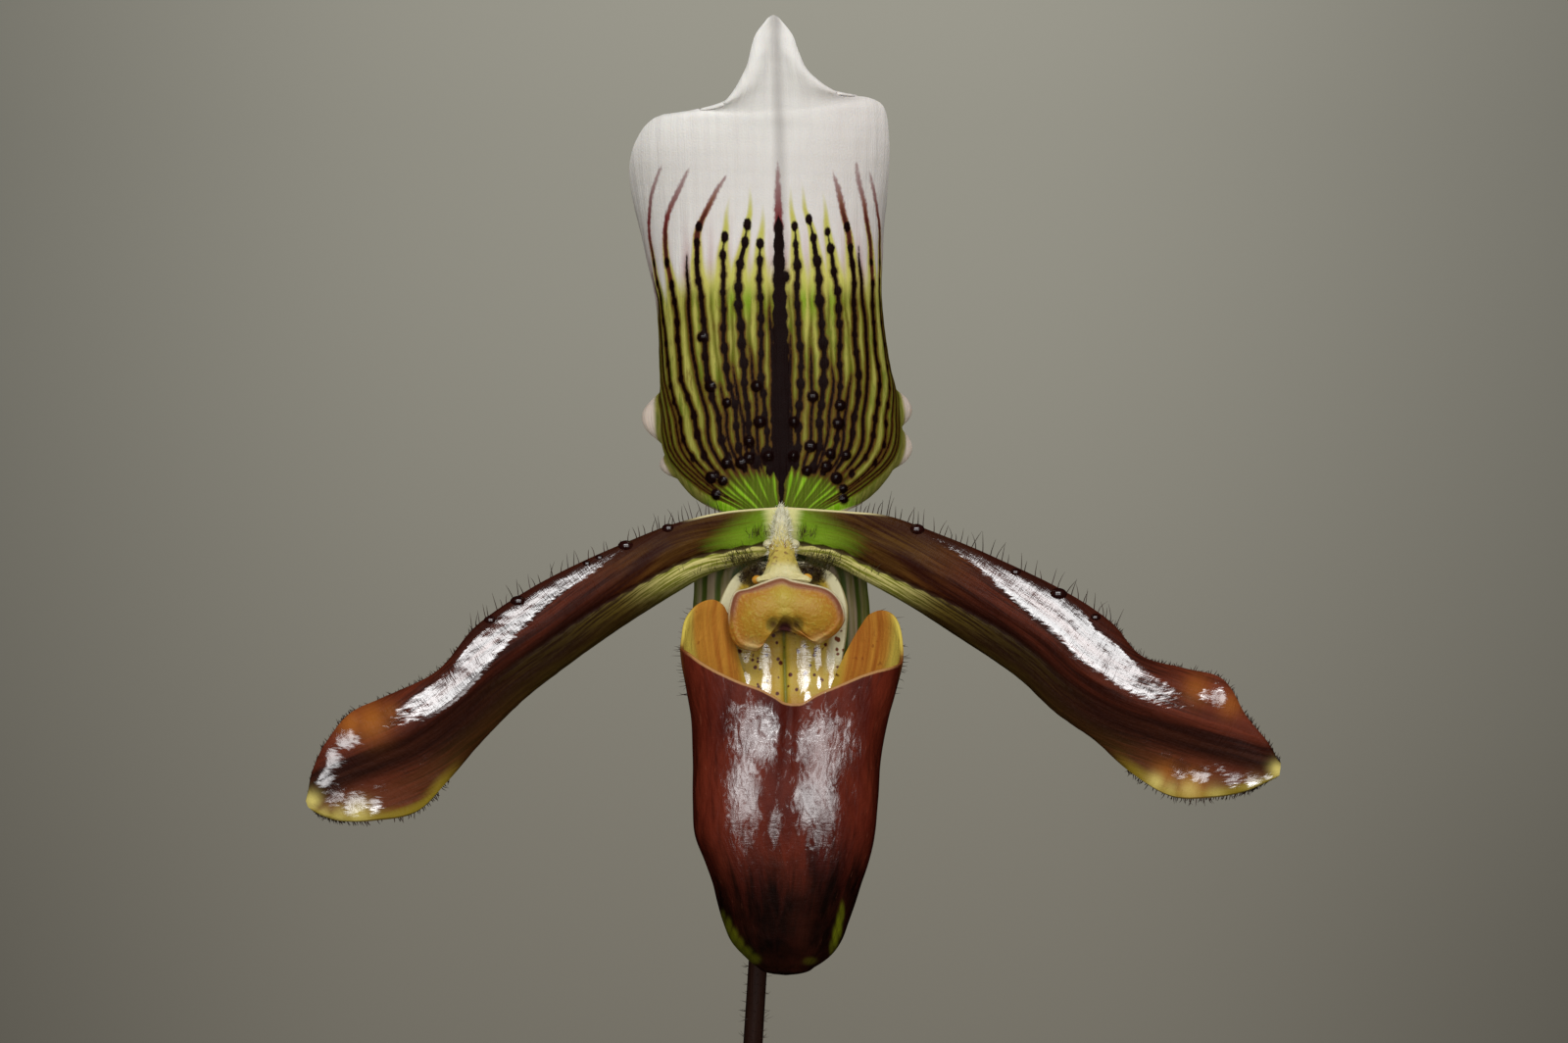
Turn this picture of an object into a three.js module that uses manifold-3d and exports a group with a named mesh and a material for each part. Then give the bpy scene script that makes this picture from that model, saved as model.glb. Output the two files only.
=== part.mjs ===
// A potted slipper orchid: a plain clay pot filled with bark chips, a fan of strap leaves with a young
// growth behind it, and one flower on a thin stem. Millimetres, +Z up, the flower faces -Y, and the
// origin is the middle of the pot's flat underside.
import * as THREE from "three";
import { mergeVertices } from "three/addons/utils/BufferGeometryUtils.js";
import Module from "manifold-3d";

const wasm = await Module();
wasm.setup();

// Driving dimensions
const GAP = 0.3; // clearance between pieces that touch
const POT_HEIGHT = 100;
const POT_BASE_RADIUS = 38;
const POT_RIM_RADIUS = 56;
const RIM_BAND_HEIGHT = 24;
const POT_FLOOR = 5;
const POT_SIDES = 36;
const DRAIN_RADIUS = 4;
const DRAIN_RING_RADIUS = 20;
const BARK_LEVEL = 84;
const MAIN_GROWTH = new THREE.Vector3(0, -5, 0);
const YOUNG_GROWTH = new THREE.Vector3(6, 26, 0);
const FLOWER_CENTRE = new THREE.Vector3(8, -27, 330); // the front of the column
const SEPAL_THICKNESS = 0.8;
const PETAL_THICKNESS = 0.8;
const LIP_WALL = 0.9;
const LEAF_THICKNESS = 1.3;

const vec = (x, y, z) => new THREE.Vector3(x, y, z);
const radians = THREE.MathUtils.degToRad;
const lerp = THREE.MathUtils.lerp;
const smooth = THREE.MathUtils.smoothstep;

// A seeded random number from 0 to 1, so that every build places the chips alike.
function seededRandom(seed) {
  let state = seed;
  return () => {
    state = (state * 1664525 + 1013904223) % 4294967296;
    return state / 4294967296;
  };
}

// Solids

function toSolid(geometry) {
  const bare = geometry.clone();
  bare.deleteAttribute("normal");
  bare.deleteAttribute("uv");
  const merged = mergeVertices(bare, 1e-4);
  const solid = new wasm.Manifold(
    new wasm.Mesh({
      numProp: 3,
      vertProperties: new Float32Array(merged.attributes.position.array),
      triVerts: new Uint32Array(merged.index.array),
    }),
  );
  if (solid.volume() > 0) return solid;
  for (let i = 0; i < merged.index.array.length; i += 3) {
    const corner = merged.index.array[i];
    merged.index.array[i] = merged.index.array[i + 1];
    merged.index.array[i + 1] = corner;
  }
  return toSolid(merged);
}

function toGeometry(solid) {
  const { vertProperties, triVerts } = solid.getMesh();
  const geometry = new THREE.BufferGeometry();
  geometry.setAttribute("position", new THREE.BufferAttribute(new Float32Array(vertProperties), 3));
  geometry.setIndex(new THREE.BufferAttribute(new Uint32Array(triVerts), 1));
  return geometry;
}

function closedGeometry(points, triangles) {
  const geometry = new THREE.BufferGeometry().setFromPoints(points);
  geometry.setIndex(triangles);
  return toGeometry(toSolid(geometry));
}

// A thin closed sheet. surface(across, along) gives its middle for across from -1 to 1 and along from
// 0 to 1; both faces lie half the thickness off it and are split into triangles alike.
function sheet(surface, thickness, columns, rows) {
  const step = 1e-3;
  const front = [];
  const back = [];
  for (let j = 0; j <= rows; j++) {
    for (let i = 0; i <= columns; i++) {
      const u = lerp(-1, 1, i / columns);
      const v = j / rows;
      const alongU = surface(Math.min(u + step, 1), v).sub(surface(Math.max(u - step, -1), v));
      const alongV = surface(u, Math.min(v + step, 1)).sub(surface(u, Math.max(v - step, 0)));
      const offset = alongU.cross(alongV).normalize().multiplyScalar(thickness / 2);
      const middle = surface(u, v);
      front.push(middle.clone().add(offset));
      back.push(middle.sub(offset));
    }
  }
  const wide = columns + 1;
  const shift = front.length;
  const triangles = [];
  const quad = (a, b, c, d) => triangles.push(a, b, c, a, c, d);
  for (let j = 0; j < rows; j++) {
    for (let i = 0; i < columns; i++) {
      const a = j * wide + i;
      const b = a + 1;
      const c = b + wide;
      const d = a + wide;
      quad(a, b, c, d);
      triangles.push(a + shift, c + shift, b + shift, a + shift, d + shift, c + shift);
    }
  }
  for (let i = 0; i < columns; i++) {
    const top = rows * wide + i;
    quad(i, i + shift, i + 1 + shift, i + 1);
    quad(top + 1, top + 1 + shift, top + shift, top);
  }
  for (let j = 0; j < rows; j++) {
    const left = j * wide;
    const right = left + columns;
    quad(left + wide, left + wide + shift, left + shift, left);
    quad(right, right + shift, right + wide + shift, right + wide);
  }
  return closedGeometry([...front, ...back], triangles);
}

// A closed body of rings. ring(along, angle) gives its skin; both ends are capped at their middle.
function ringBody(ring, sides, rows) {
  const points = [];
  const triangles = [];
  for (let j = 0; j <= rows; j++) {
    for (let i = 0; i < sides; i++) points.push(ring(j / rows, (2 * Math.PI * i) / sides));
  }
  const middleOf = (first) =>
    points.slice(first, first + sides).reduce((sum, p) => sum.add(p), vec(0, 0, 0)).divideScalar(sides);
  const lastRing = rows * sides;
  points.push(middleOf(0), middleOf(lastRing));
  const bottom = points.length - 2;
  const top = points.length - 1;
  for (let i = 0; i < sides; i++) {
    const next = (i + 1) % sides;
    triangles.push(bottom, next, i, top, lastRing + i, lastRing + next);
    for (let j = 0; j < rows; j++) {
      const a = j * sides;
      const b = a + sides;
      triangles.push(a + i, a + next, b + next, a + i, b + next, b + i);
    }
  }
  return closedGeometry(points, triangles);
}

// A tube along a smooth path: radius(along, angle) is its size, measured from the path.
function taperedTube(path, radius, sides, rows) {
  const curve = new THREE.CatmullRomCurve3(path, false, "catmullrom", 0.5);
  return ringBody(
    (along, angle) => {
      const tangent = curve.getTangent(along);
      const side = vec(1, 0, 0).addScaledVector(tangent, -tangent.x).normalize();
      const other = tangent.clone().cross(side);
      const r = radius(along, angle);
      return curve
        .getPoint(along)
        .addScaledVector(side, r * Math.cos(angle))
        .addScaledVector(other, r * Math.sin(angle));
    },
    sides,
    rows,
  );
}

// A smooth curve through points that are evenly spaced in its parameter.
const curveOf = (points) =>
  new THREE.CatmullRomCurve3(points.map((p) => vec(...p)), false, "catmullrom", 0.5);

// A value read from [position, value] pairs, in straight steps between them.
function readTable(pairs, at) {
  const next = pairs.findIndex(([position]) => position > at);
  if (next < 0) return pairs[pairs.length - 1][1];
  if (next === 0) return pairs[0][1];
  const [low, lowValue] = pairs[next - 1];
  const [high, highValue] = pairs[next];
  return lerp(lowValue, highValue, (at - low) / (high - low));
}

// Rolled half of a leaf-like section: its direction turns by roll * s^2 as s goes from the midrib, 0, to
// the edge, 1. Gives how far across and how far back the point at s lies, for a half of length 1.
function rolledPoint(roll, s) {
  const steps = 12;
  let across = 0;
  let back = 0;
  for (let k = 0; k < steps; k++) {
    const middle = (s * (k + 0.5)) / steps;
    across += (Math.cos(roll * middle * middle) * s) / steps;
    back += (Math.sin(roll * middle * middle) * s) / steps;
  }
  return [across, back];
}

// How far across such a half reaches as seen from the front, before it turns back on itself.
function visibleReach(roll) {
  const widest = Math.min(1, Math.sqrt(Math.PI / 2 / Math.max(Math.abs(roll), 1e-6)));
  return rolledPoint(roll, widest)[0];
}

// A petal or sepal. Each row holds its left outline as seen from the front, its midrib, and its right
// outline: [x, z, roll] for an outline, where roll in degrees turns that edge back, and [x, y, z] for
// the midrib. Rows are evenly spaced from the base to the tip.
function petalSurface(rows) {
  const left = curveOf(rows.map((row) => row[0]));
  const middle = curveOf(rows.map((row) => row[1]));
  const right = curveOf(rows.map((row) => row[2]));
  return (across, along) => {
    const rib = middle.getPoint(along);
    const edge = (across < 0 ? left : right).getPoint(along);
    const roll = radians(edge.z);
    const [reach, back] = rolledPoint(roll, Math.abs(across));
    const scale = reach / visibleReach(roll);
    const width = Math.hypot(edge.x - rib.x, edge.y - rib.z) / visibleReach(roll);
    return vec(rib.x + (edge.x - rib.x) * scale, rib.y + back * width, rib.z + (edge.y - rib.z) * scale);
  };
}

const inFlower = (surface) => (across, along) => surface(across, along).add(FLOWER_CENTRE);

// Materials and assembly

const plant = new THREE.Group();

function finish(color, roughness) {
  return new THREE.MeshStandardMaterial({ color, roughness, metalness: 0 });
}

const clay = finish("#b5683f", 0.85);
const bark = finish("#6b4127", 0.9);
const leafGreen = finish("#4f7a36", 0.45);
const stemMaroon = finish("#3a1a14", 0.6);
const bractGreen = finish("#6d7f35", 0.5);
const ovaryGreen = finish("#5c5a2c", 0.55);
const sepalWhite = finish("#c9cfa8", 0.45);
const synsepalGreen = finish("#7f8a4d", 0.5);
const petalMaroon = finish("#5a2014", 0.25);
const lipMaroon = finish("#6b2418", 0.2);
const columnCream = finish("#d9cf96", 0.45);
const shieldAmber = finish("#b07a28", 0.4);

function place(name, geometry, material) {
  const mesh = new THREE.Mesh(geometry, material);
  mesh.name = name;
  plant.add(mesh);
}

// Pot: thrown clay with a thick rim band and four drain holes round a solid middle.

const INNER_BASE_RADIUS = POT_BASE_RADIUS - 4.5;
const INNER_RIM_RADIUS = POT_RIM_RADIUS - 6.5;
const BAND_BOTTOM = POT_HEIGHT - RIM_BAND_HEIGHT;
const innerRadiusAt = (z) =>
  lerp(INNER_BASE_RADIUS, INNER_RIM_RADIUS, (z - POT_FLOOR) / (POT_HEIGHT - POT_FLOOR));

function makePot() {
  const lipRound = 1.5;
  const profile = [
    [0, 0],
    [POT_BASE_RADIUS - lipRound, 0],
    [POT_BASE_RADIUS, lipRound],
    [POT_RIM_RADIUS - 7, BAND_BOTTOM],
    [POT_RIM_RADIUS - 3, BAND_BOTTOM + lipRound],
    [POT_RIM_RADIUS, POT_HEIGHT - lipRound],
    [POT_RIM_RADIUS - lipRound, POT_HEIGHT],
    [INNER_RIM_RADIUS + lipRound, POT_HEIGHT],
    [INNER_RIM_RADIUS, POT_HEIGHT - lipRound],
    [INNER_BASE_RADIUS, POT_FLOOR],
    [0, POT_FLOOR],
  ].map(([r, z]) => new THREE.Vector2(r, z));
  const lathe = new THREE.LatheGeometry(profile, POT_SIDES).rotateX(Math.PI / 2);
  let pot = toSolid(lathe);
  for (let k = 0; k < 4; k++) {
    const angle = ((k + 0.5) * Math.PI) / 2;
    const drain = new THREE.CylinderGeometry(DRAIN_RADIUS, DRAIN_RADIUS, POT_FLOOR * 4, 12)
      .rotateX(Math.PI / 2)
      .translate(DRAIN_RING_RADIUS * Math.cos(angle), DRAIN_RING_RADIUS * Math.sin(angle), 0);
    pot = pot.subtract(toSolid(drain));
  }
  return toGeometry(pot);
}
place("pot", makePot(), clay);

// Bark: the pot's filling, a core with loose chips lying half sunk over its top, and a plain round hole
// where each growth stands.

const MAIN_HOLE_RADIUS = 15.2;
const YOUNG_HOLE_RADIUS = 7.0;
const HOLE_FLOOR = 70;

function barkChip(random) {
  const chip = new THREE.BoxGeometry(11 + 6 * random(), 7.5 + 4 * random(), 5 + 3 * random());
  const corners = chip.attributes.position;
  const shift = new Map();
  for (let i = 0; i < corners.count; i++) {
    const key = [corners.getX(i), corners.getY(i), corners.getZ(i)].map(Math.sign).join();
    if (!shift.has(key)) shift.set(key, [1, 1, 1].map(() => 0.72 + 0.4 * random()));
    const [sx, sy, sz] = shift.get(key);
    corners.setXYZ(i, corners.getX(i) * sx, corners.getY(i) * sy, corners.getZ(i) * sz);
  }
  const tilt = 0.9;
  return chip
    .rotateX((random() - 0.5) * tilt)
    .rotateY((random() - 0.5) * tilt)
    .rotateZ(random() * Math.PI * 2);
}

function makeBark() {
  const random = seededRandom(11);
  const wallGap = GAP + 0.15;
  const fill = (bottom, top) =>
    toSolid(
      new THREE.CylinderGeometry(
        innerRadiusAt(top) - wallGap,
        innerRadiusAt(bottom) - wallGap,
        top - bottom,
        POT_SIDES,
      )
        .rotateX(Math.PI / 2)
        .translate(0, 0, (top + bottom) / 2),
    );
  const chips = [];
  const ringSpacing = 10.6;
  for (let ring = 1; ring <= 4; ring++) {
    const radius = ring * ringSpacing;
    const count = Math.round((2 * Math.PI * radius) / 12);
    for (let k = 0; k < count; k++) {
      const angle = ((k + 0.6 * random()) / count) * 2 * Math.PI;
      const height = BARK_LEVEL + 0.4 + 1.6 * random();
      chips.push(
        toSolid(barkChip(random).translate(radius * Math.cos(angle), radius * Math.sin(angle), height)),
      );
    }
  }
  const hole = (centre, radius) =>
    toSolid(
      new THREE.CylinderGeometry(radius, radius, 40, 24)
        .rotateX(Math.PI / 2)
        .translate(centre.x, centre.y, HOLE_FLOOR + 20),
    );
  const floorLevel = POT_FLOOR + GAP;
  const chipped = wasm.Manifold.union(chips).intersect(fill(floorLevel, POT_HEIGHT - 4));
  const filling = chipped
    .add(fill(floorLevel, BARK_LEVEL))
    .subtract(hole(MAIN_GROWTH, MAIN_HOLE_RADIUS))
    .subtract(hole(YOUNG_GROWTH, YOUNG_HOLE_RADIUS));
  const bodies = filling.decompose();
  return toGeometry(bodies.reduce((a, b) => (a.volume() > b.volume() ? a : b)));
}
place("bark_filling", makeBark(), bark);

// Stems: the main growth's short stem and flower stem are one length, thick where the leaves clasp it
// and thin as a straw above; the young growth has a stub of its own.

const STEM_TOP = vec(-2.4, 23.5, -43).add(FLOWER_CENTRE);
const STEM_PATH = [
  vec(0, 0, HOLE_FLOOR + GAP).add(MAIN_GROWTH),
  vec(0, 0, 96).add(MAIN_GROWTH),
  vec(-1.2, 1.2, 140).add(MAIN_GROWTH),
  vec(0.6, 2, 190).add(MAIN_GROWTH),
  vec(2.8, 2.4, 240).add(MAIN_GROWTH),
  STEM_TOP,
];
const CROWN_RADIUS = 3.8;
const STEM_RADII = [[0, 3.2], [0.06, CROWN_RADIUS], [0.14, CROWN_RADIUS], [0.26, 1.7], [0.6, 1.4], [1, 1.1]];

place("flower_stem", taperedTube(STEM_PATH, (t) => readTable(STEM_RADII, t), 8, 28), stemMaroon);

const YOUNG_CROWN_RADIUS = 2.2;
place(
  "young_stem",
  taperedTube(
    [vec(0, 0, HOLE_FLOOR + GAP).add(YOUNG_GROWTH), vec(0, 0, 97).add(YOUNG_GROWTH)],
    (t) => lerp(YOUNG_CROWN_RADIUS, 1.2, smooth(t, 0.6, 1)),
    10,
    6,
  ),
  leafGreen,
);

// Leaves: thick straps in two ranks. Each clasps the stem, outside the leaf before it, then opens into a
// shallow channel, leans out, arches over and ends in a blunt point.

const CLASP_TOP = 106; // the height where the leaves part

// One leaf's middle surface. lean is its angle from upright once it has parted from the stem, droop the
// angle at its tip; clasp is the half width of its foot, wrapped round the stem at the sleeve radius.
function leafSurface({ growth, azimuth, sleeve, clasp, length, width, lean, droop, swing }) {
  const foot = HOLE_FLOOR + GAP;
  const outward = vec(Math.cos(radians(azimuth)), Math.sin(radians(azimuth)), 0);
  const sideways = vec(-outward.y, outward.x, 0);
  const parting = CLASP_TOP - foot;
  const steps = 60;
  const angleAt = (s) =>
    radians(lean * smooth(s, parting - 4, parting + 50) + (droop - lean) * smooth(s, parting + 30, length));
  const line = [{ out: sleeve, height: foot }];
  for (let k = 1; k <= steps; k++) {
    const angle = angleAt(((k - 0.5) / steps) * length);
    const last = line[k - 1];
    line.push({
      out: last.out + (Math.sin(angle) * length) / steps,
      height: last.height + (Math.cos(angle) * length) / steps,
    });
  }
  return (across, along) => {
    const at = Math.min(along * steps, steps - 1e-6);
    const [a, b] = [line[Math.floor(at)], line[Math.floor(at) + 1]];
    const part = at - Math.floor(at);
    const angle = angleAt(along * length);
    const open = smooth(along * length, parting - 6, parting + 0.34 * length);
    const tip = Math.sqrt(Math.max(1 - Math.pow(Math.max(along - 0.6, 0) / 0.4, 2.2), 0.003));
    const halfWidth = lerp(clasp, width / 2, open) * tip;
    const bend = lerp(clasp / sleeve, radians(24), smooth(open, 0, 0.7));
    const fold = 0.14 * open * halfWidth * Math.sqrt(across * across + 0.02);
    const sideOffset = (halfWidth / bend) * Math.sin(across * bend);
    const innerOffset = (halfWidth / bend) * (1 - Math.cos(across * bend)) + fold;
    return growth
      .clone()
      .addScaledVector(outward, lerp(a.out, b.out, part) - Math.cos(angle) * innerOffset)
      .add(vec(0, 0, lerp(a.height, b.height, part) + Math.sin(angle) * innerOffset))
      .addScaledVector(sideways, sideOffset + swing * along * along);
  };
}

const innerSleeve = CROWN_RADIUS + 0.5 + LEAF_THICKNESS / 2;
const SLEEVE_STEP = LEAF_THICKNESS + 0.5;
const MAIN_LEAVES = [
  { azimuth: 180, clasp: 12.5, length: 172, width: 37, lean: 66, droop: 112, swing: 14 },
  { azimuth: 0, clasp: 12.5, length: 178, width: 38, lean: 64, droop: 108, swing: 12 },
  { azimuth: 180, clasp: 11.5, length: 188, width: 36, lean: 46, droop: 92, swing: -12 },
  { azimuth: 0, clasp: 10.5, length: 180, width: 35, lean: 46, droop: 88, swing: -14 },
  { azimuth: 180, clasp: 8.6, length: 150, width: 30, lean: 27, droop: 60, swing: 4 },
  { azimuth: 0, clasp: 6.2, length: 128, width: 27, lean: 20, droop: 46, swing: 4 },
];
MAIN_LEAVES.forEach((leaf, k) => {
  const sleeve = innerSleeve + (MAIN_LEAVES.length - 1 - k) * SLEEVE_STEP;
  const surface = leafSurface({ ...leaf, growth: MAIN_GROWTH, sleeve });
  place(`leaf_${k + 1}`, sheet(surface, LEAF_THICKNESS, 6, 14), leafGreen);
});

const YOUNG_LEAVES = [
  { azimuth: 18, clasp: 6.4, length: 92, width: 20, lean: 44, droop: 86, swing: 3 },
  { azimuth: 162, clasp: 4.8, length: 86, width: 19, lean: 42, droop: 88, swing: -3 },
  { azimuth: 18, clasp: 3.4, length: 66, width: 13, lean: 20, droop: 40, swing: 1 },
];
YOUNG_LEAVES.forEach((leaf, k) => {
  const sleeve = YOUNG_CROWN_RADIUS + 1 + (YOUNG_LEAVES.length - 1 - k) * 1.4;
  const surface = leafSurface({ ...leaf, growth: YOUNG_GROWTH, sleeve });
  place(`young_leaf_${k + 1}`, sheet(surface, 1, 6, 10), leafGreen);
});

// Ovary: six ribbed, it carries on from the flower stem, bends forward and ends in the knob that all the
// flower's pieces grow from.

const KNOB = vec(0, 4.2, 0.6);
const OVARY_PATH = [
  vec(-2.3, 23.3, -43 + GAP),
  vec(-2.0, 23.0, -30),
  vec(-1.4, 21.0, -16),
  vec(-0.7, 15.5, -5),
  vec(-0.2, 9.0, 0.2),
  KNOB.clone().add(vec(0, -2.4, 0)),
].map((p) => p.add(FLOWER_CENTRE));
const OVARY_RADII = [[0, 1.15], [0.1, 1.5], [0.45, 2.3], [0.8, 2.1], [0.93, 2.3], [1, 1.9]];
const ribbed = (t, angle) => readTable(OVARY_RADII, t) * (1 + 0.07 * Math.cos(6 * angle));
place("ovary", taperedTube(OVARY_PATH, ribbed, 18, 16), ovaryGreen);

// Bract: a folded sheath that wraps the foot of the ovary and tapers to a point behind it.

function bractSurface(across, along) {
  const curve = new THREE.CatmullRomCurve3(OVARY_PATH, false, "catmullrom", 0.5);
  const centre = curve.getPoint(0.02 + along * 0.4);
  const angle = Math.PI / 2 + across * lerp(radians(150), radians(14), along * along);
  const radius = lerp(2.15, 3.6, smooth(along, 0, 0.6));
  return centre.add(vec(radius * Math.cos(angle), radius * Math.sin(angle), 0));
}
place("floral_bract", sheet(bractSurface, 0.6, 8, 8), bractGreen);

// Dorsal sepal: stands up behind the petals, its sides rolled back below and opening to wide shoulders
// under a narrow point.

const DORSAL_ROWS = [
  [[-4.2, 3.7, 25], [0, 2.7, 3.4], [4.8, 3.7, 25]],
  [[-9.6, 6.4, 100], [0, 2.7, 7], [10.8, 6.4, 100]],
  [[-13.3, 11, 150], [0, 2.8, 11.5], [13.5, 11, 150]],
  [[-13.8, 16.5, 150], [0, 3.0, 16.5], [13.4, 16.5, 150]],
  [[-13.9, 22.5, 150], [-0.1, 3.3, 22.5], [12.1, 22.5, 150]],
  [[-14.4, 29, 135], [-0.2, 3.4, 29], [11.4, 29, 135]],
  [[-15.9, 35.5, 100], [-0.3, 3.0, 36], [11.6, 35.5, 100]],
  [[-17.2, 41, 70], [-0.4, 2.0, 42], [12.1, 41, 70]],
  [[-17.3, 45, 50], [-0.5, 0.8, 47], [12.3, 45.5, 50]],
  [[-15.2, 48.6, 40], [-0.6, -0.6, 50.6], [11.9, 49.6, 40]],
  [[-10.2, 50.2, 40], [-0.7, -1.8, 53.2], [9.6, 51.4, 40]],
  [[-6.0, 51.8, 45], [-0.8, -2.9, 55.4], [5.4, 52.8, 45]],
  [[-4.0, 55.2, 50], [-0.9, -3.8, 57.4], [2.5, 55.2, 50]],
  [[-3.0, 58.2, 45], [-0.9, -4.6, 59.2], [1.2, 58.4, 45]],
  [[-1.7, 60.1, 20], [-0.9, -5.2, 60.4], [-0.1, 60.1, 20]],
];
// Where the rolled margin turns out again in a lobe: side, height, half its span, and how far it turns.
const DORSAL_LOBES = [[-1, 14.9, 3.4, 5.0], [-1, 9.1, 2.2, 3.6], [1, 15.3, 2.8, 4.2], [1, 10.4, 2.8, 4.6]];

function dorsalSurface(across, along) {
  const point = petalSurface(DORSAL_ROWS)(across, along);
  const margin = smooth(Math.abs(across), 0.74, 1);
  for (const [side, height, span, reach] of DORSAL_LOBES) {
    if (side * across < 0) continue;
    const near = Math.max(0, 1 - Math.abs(point.z - height) / span);
    point.x += side * reach * margin * smooth(near, 0, 1);
  }
  return point;
}
place("dorsal_sepal", sheet(inFlower(dorsalSurface), SEPAL_THICKNESS, 16, 24), sepalWhite);

// Synsepal: the two lower sepals grown together, a small oval sheet behind the pouch.

const SYNSEPAL_ROWS = [
  [[-1.8, -2.1, 0], [0, 3.2, -2.3], [1.8, -2.1, 0]],
  [[-7.6, -3.0, 50], [0, 3.1, -4.6], [7.6, -2.8, 50]],
  [[-9.8, -6.0, 60], [0, 3.3, -8], [9.8, -5.6, 60]],
  [[-10.1, -10.5, 60], [0, 3.4, -12.5], [10.1, -10.5, 60]],
  [[-9.6, -17, 55], [0, 3.2, -18], [9.8, -17, 55]],
  [[-8.4, -24, 50], [0, 2.6, -24.5], [8.6, -24, 50]],
  [[-6.0, -30.5, 45], [0, 1.8, -31], [6.2, -30.5, 45]],
  [[-2.8, -35.2, 40], [0, 0.8, -35.8], [3.0, -35.2, 40]],
  [[-0.6, -37.6, 20], [0, 0.4, -37.9], [0.7, -37.6, 20]],
];
place("synsepal", sheet(inFlower(petalSurface(SYNSEPAL_ROWS)), SEPAL_THICKNESS, 8, 10), synsepalGreen);

// Petals: long spoons that hang outward and down, the lower half rolled under near the flower, with a
// few shining warts standing on the upper edge.

const PETAL_LEFT_ROWS = [
  [[-1.7, -0.3, 20], [-1.6, 0.45, 0.9], [-1.7, 4.6, 10]],
  [[-4.6, -1.4, 100], [-5.2, 0.3, 0.0], [-6.4, 4.2, 25]],
  [[-8.6, -2.7, 140], [-9.4, -0.1, -0.8], [-11.2, 3.1, 50]],
  [[-12.0, -4.6, 140], [-13.1, -0.8, -2.6], [-15.4, 1.6, 65]],
  [[-18.5, -8.7, 140], [-19.6, -2.2, -7.1], [-23.0, -2.1, 65]],
  [[-23.9, -12.5, 130], [-24.9, -3.4, -11.2], [-29.0, -5.7, 65]],
  [[-29.5, -16.9, 110], [-30.8, -4.8, -15.3], [-34.8, -10.2, 62]],
  [[-33.9, -21.5, 70], [-35.7, -6.0, -19.4], [-39.6, -14.8, 60]],
  [[-37.9, -26.4, -10], [-40.5, -7.0, -23.0], [-45.1, -16.9, 60]],
  [[-41.3, -29.7, -35], [-44.5, -7.6, -24.9], [-48.7, -18.6, 60]],
  [[-46.1, -30.6, -40], [-48.4, -8.0, -26.5], [-51.3, -21.7, 50]],
  [[-49.6, -30.7, -30], [-51.2, -8.2, -27.8], [-52.9, -24.9, 40]],
  [[-51.9, -30.1, -15], [-52.8, -8.2, -28.8], [-53.4, -27.2, 20]],
  [[-53.1, -29.4, 0], [-53.5, -8.2, -29.0], [-53.6, -28.4, 0]],
];
const PETAL_RIGHT_ROWS = [
  [[1.9, -0.1, 20], [1.8, 0.45, 0.9], [1.9, 4.6, 10]],
  [[5.6, -1.4, 100], [6.2, 0.3, -0.1], [7.8, 4.2, 25]],
  [[9.0, -3.0, 140], [9.7, -0.1, -1.7], [12.5, 3.6, 50]],
  [[14.5, -6.0, 140], [15.1, -1.0, -4.7], [18.7, 1.3, 65]],
  [[19.5, -9.2, 140], [20.4, -2.2, -7.9], [24.4, -1.9, 65]],
  [[26.8, -14.1, 130], [27.6, -3.8, -12.9], [33.2, -5.6, 65]],
  [[31.2, -18.2, 110], [32.3, -5.0, -17.0], [37.9, -10.2, 62]],
  [[35.4, -21.4, 70], [36.7, -6.0, -19.6], [41.6, -13.0, 60]],
  [[39.6, -25.3, -10], [41.8, -7.0, -21.5], [46.0, -13.9, 60]],
  [[44.0, -27.9, -35], [46.3, -7.6, -23.0], [49.9, -14.8, 60]],
  [[48.4, -28.0, -40], [50.2, -8.0, -24.1], [52.5, -18.9, 50]],
  [[52.1, -27.4, -30], [53.2, -8.2, -24.9], [54.8, -21.7, 40]],
  [[54.7, -26.4, -15], [55.2, -8.2, -25.1], [55.9, -23.6, 20]],
  [[56.2, -25.6, 0], [56.3, -8.2, -24.9], [56.4, -24.2, 0]],
];
const PETAL_WARTS_LEFT = [0.21, 0.29, 0.335, 0.36, 0.45, 0.5];
const PETAL_WARTS_RIGHT = [0.26, 0.36, 0.43, 0.48];

function makePetal(rows, warts) {
  const surface = inFlower(petalSurface(rows));
  const wartRadius = 0.9;
  const onEdge = 0.93;
  const blade = toSolid(sheet(surface, PETAL_THICKNESS, 10, 20));
  const raised = warts.map((along) => {
    const spot = surface(onEdge, along);
    const bead = new THREE.IcosahedronGeometry(wartRadius, 0).translate(spot.x, spot.y - 0.3, spot.z);
    return toSolid(bead);
  });
  return toGeometry(wasm.Manifold.union([blade, ...raised]));
}
place("petal_left", makePetal(PETAL_LEFT_ROWS, PETAL_WARTS_LEFT), petalMaroon);
place("petal_right", makePetal(PETAL_RIGHT_ROWS, PETAL_WARTS_RIGHT), petalMaroon);

// Lip: the third petal, grown into a pouch. Its rim dips at the front and stands up in two ears at the
// sides; behind them a scoop-shaped claw runs up to the flower's knob.

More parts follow.
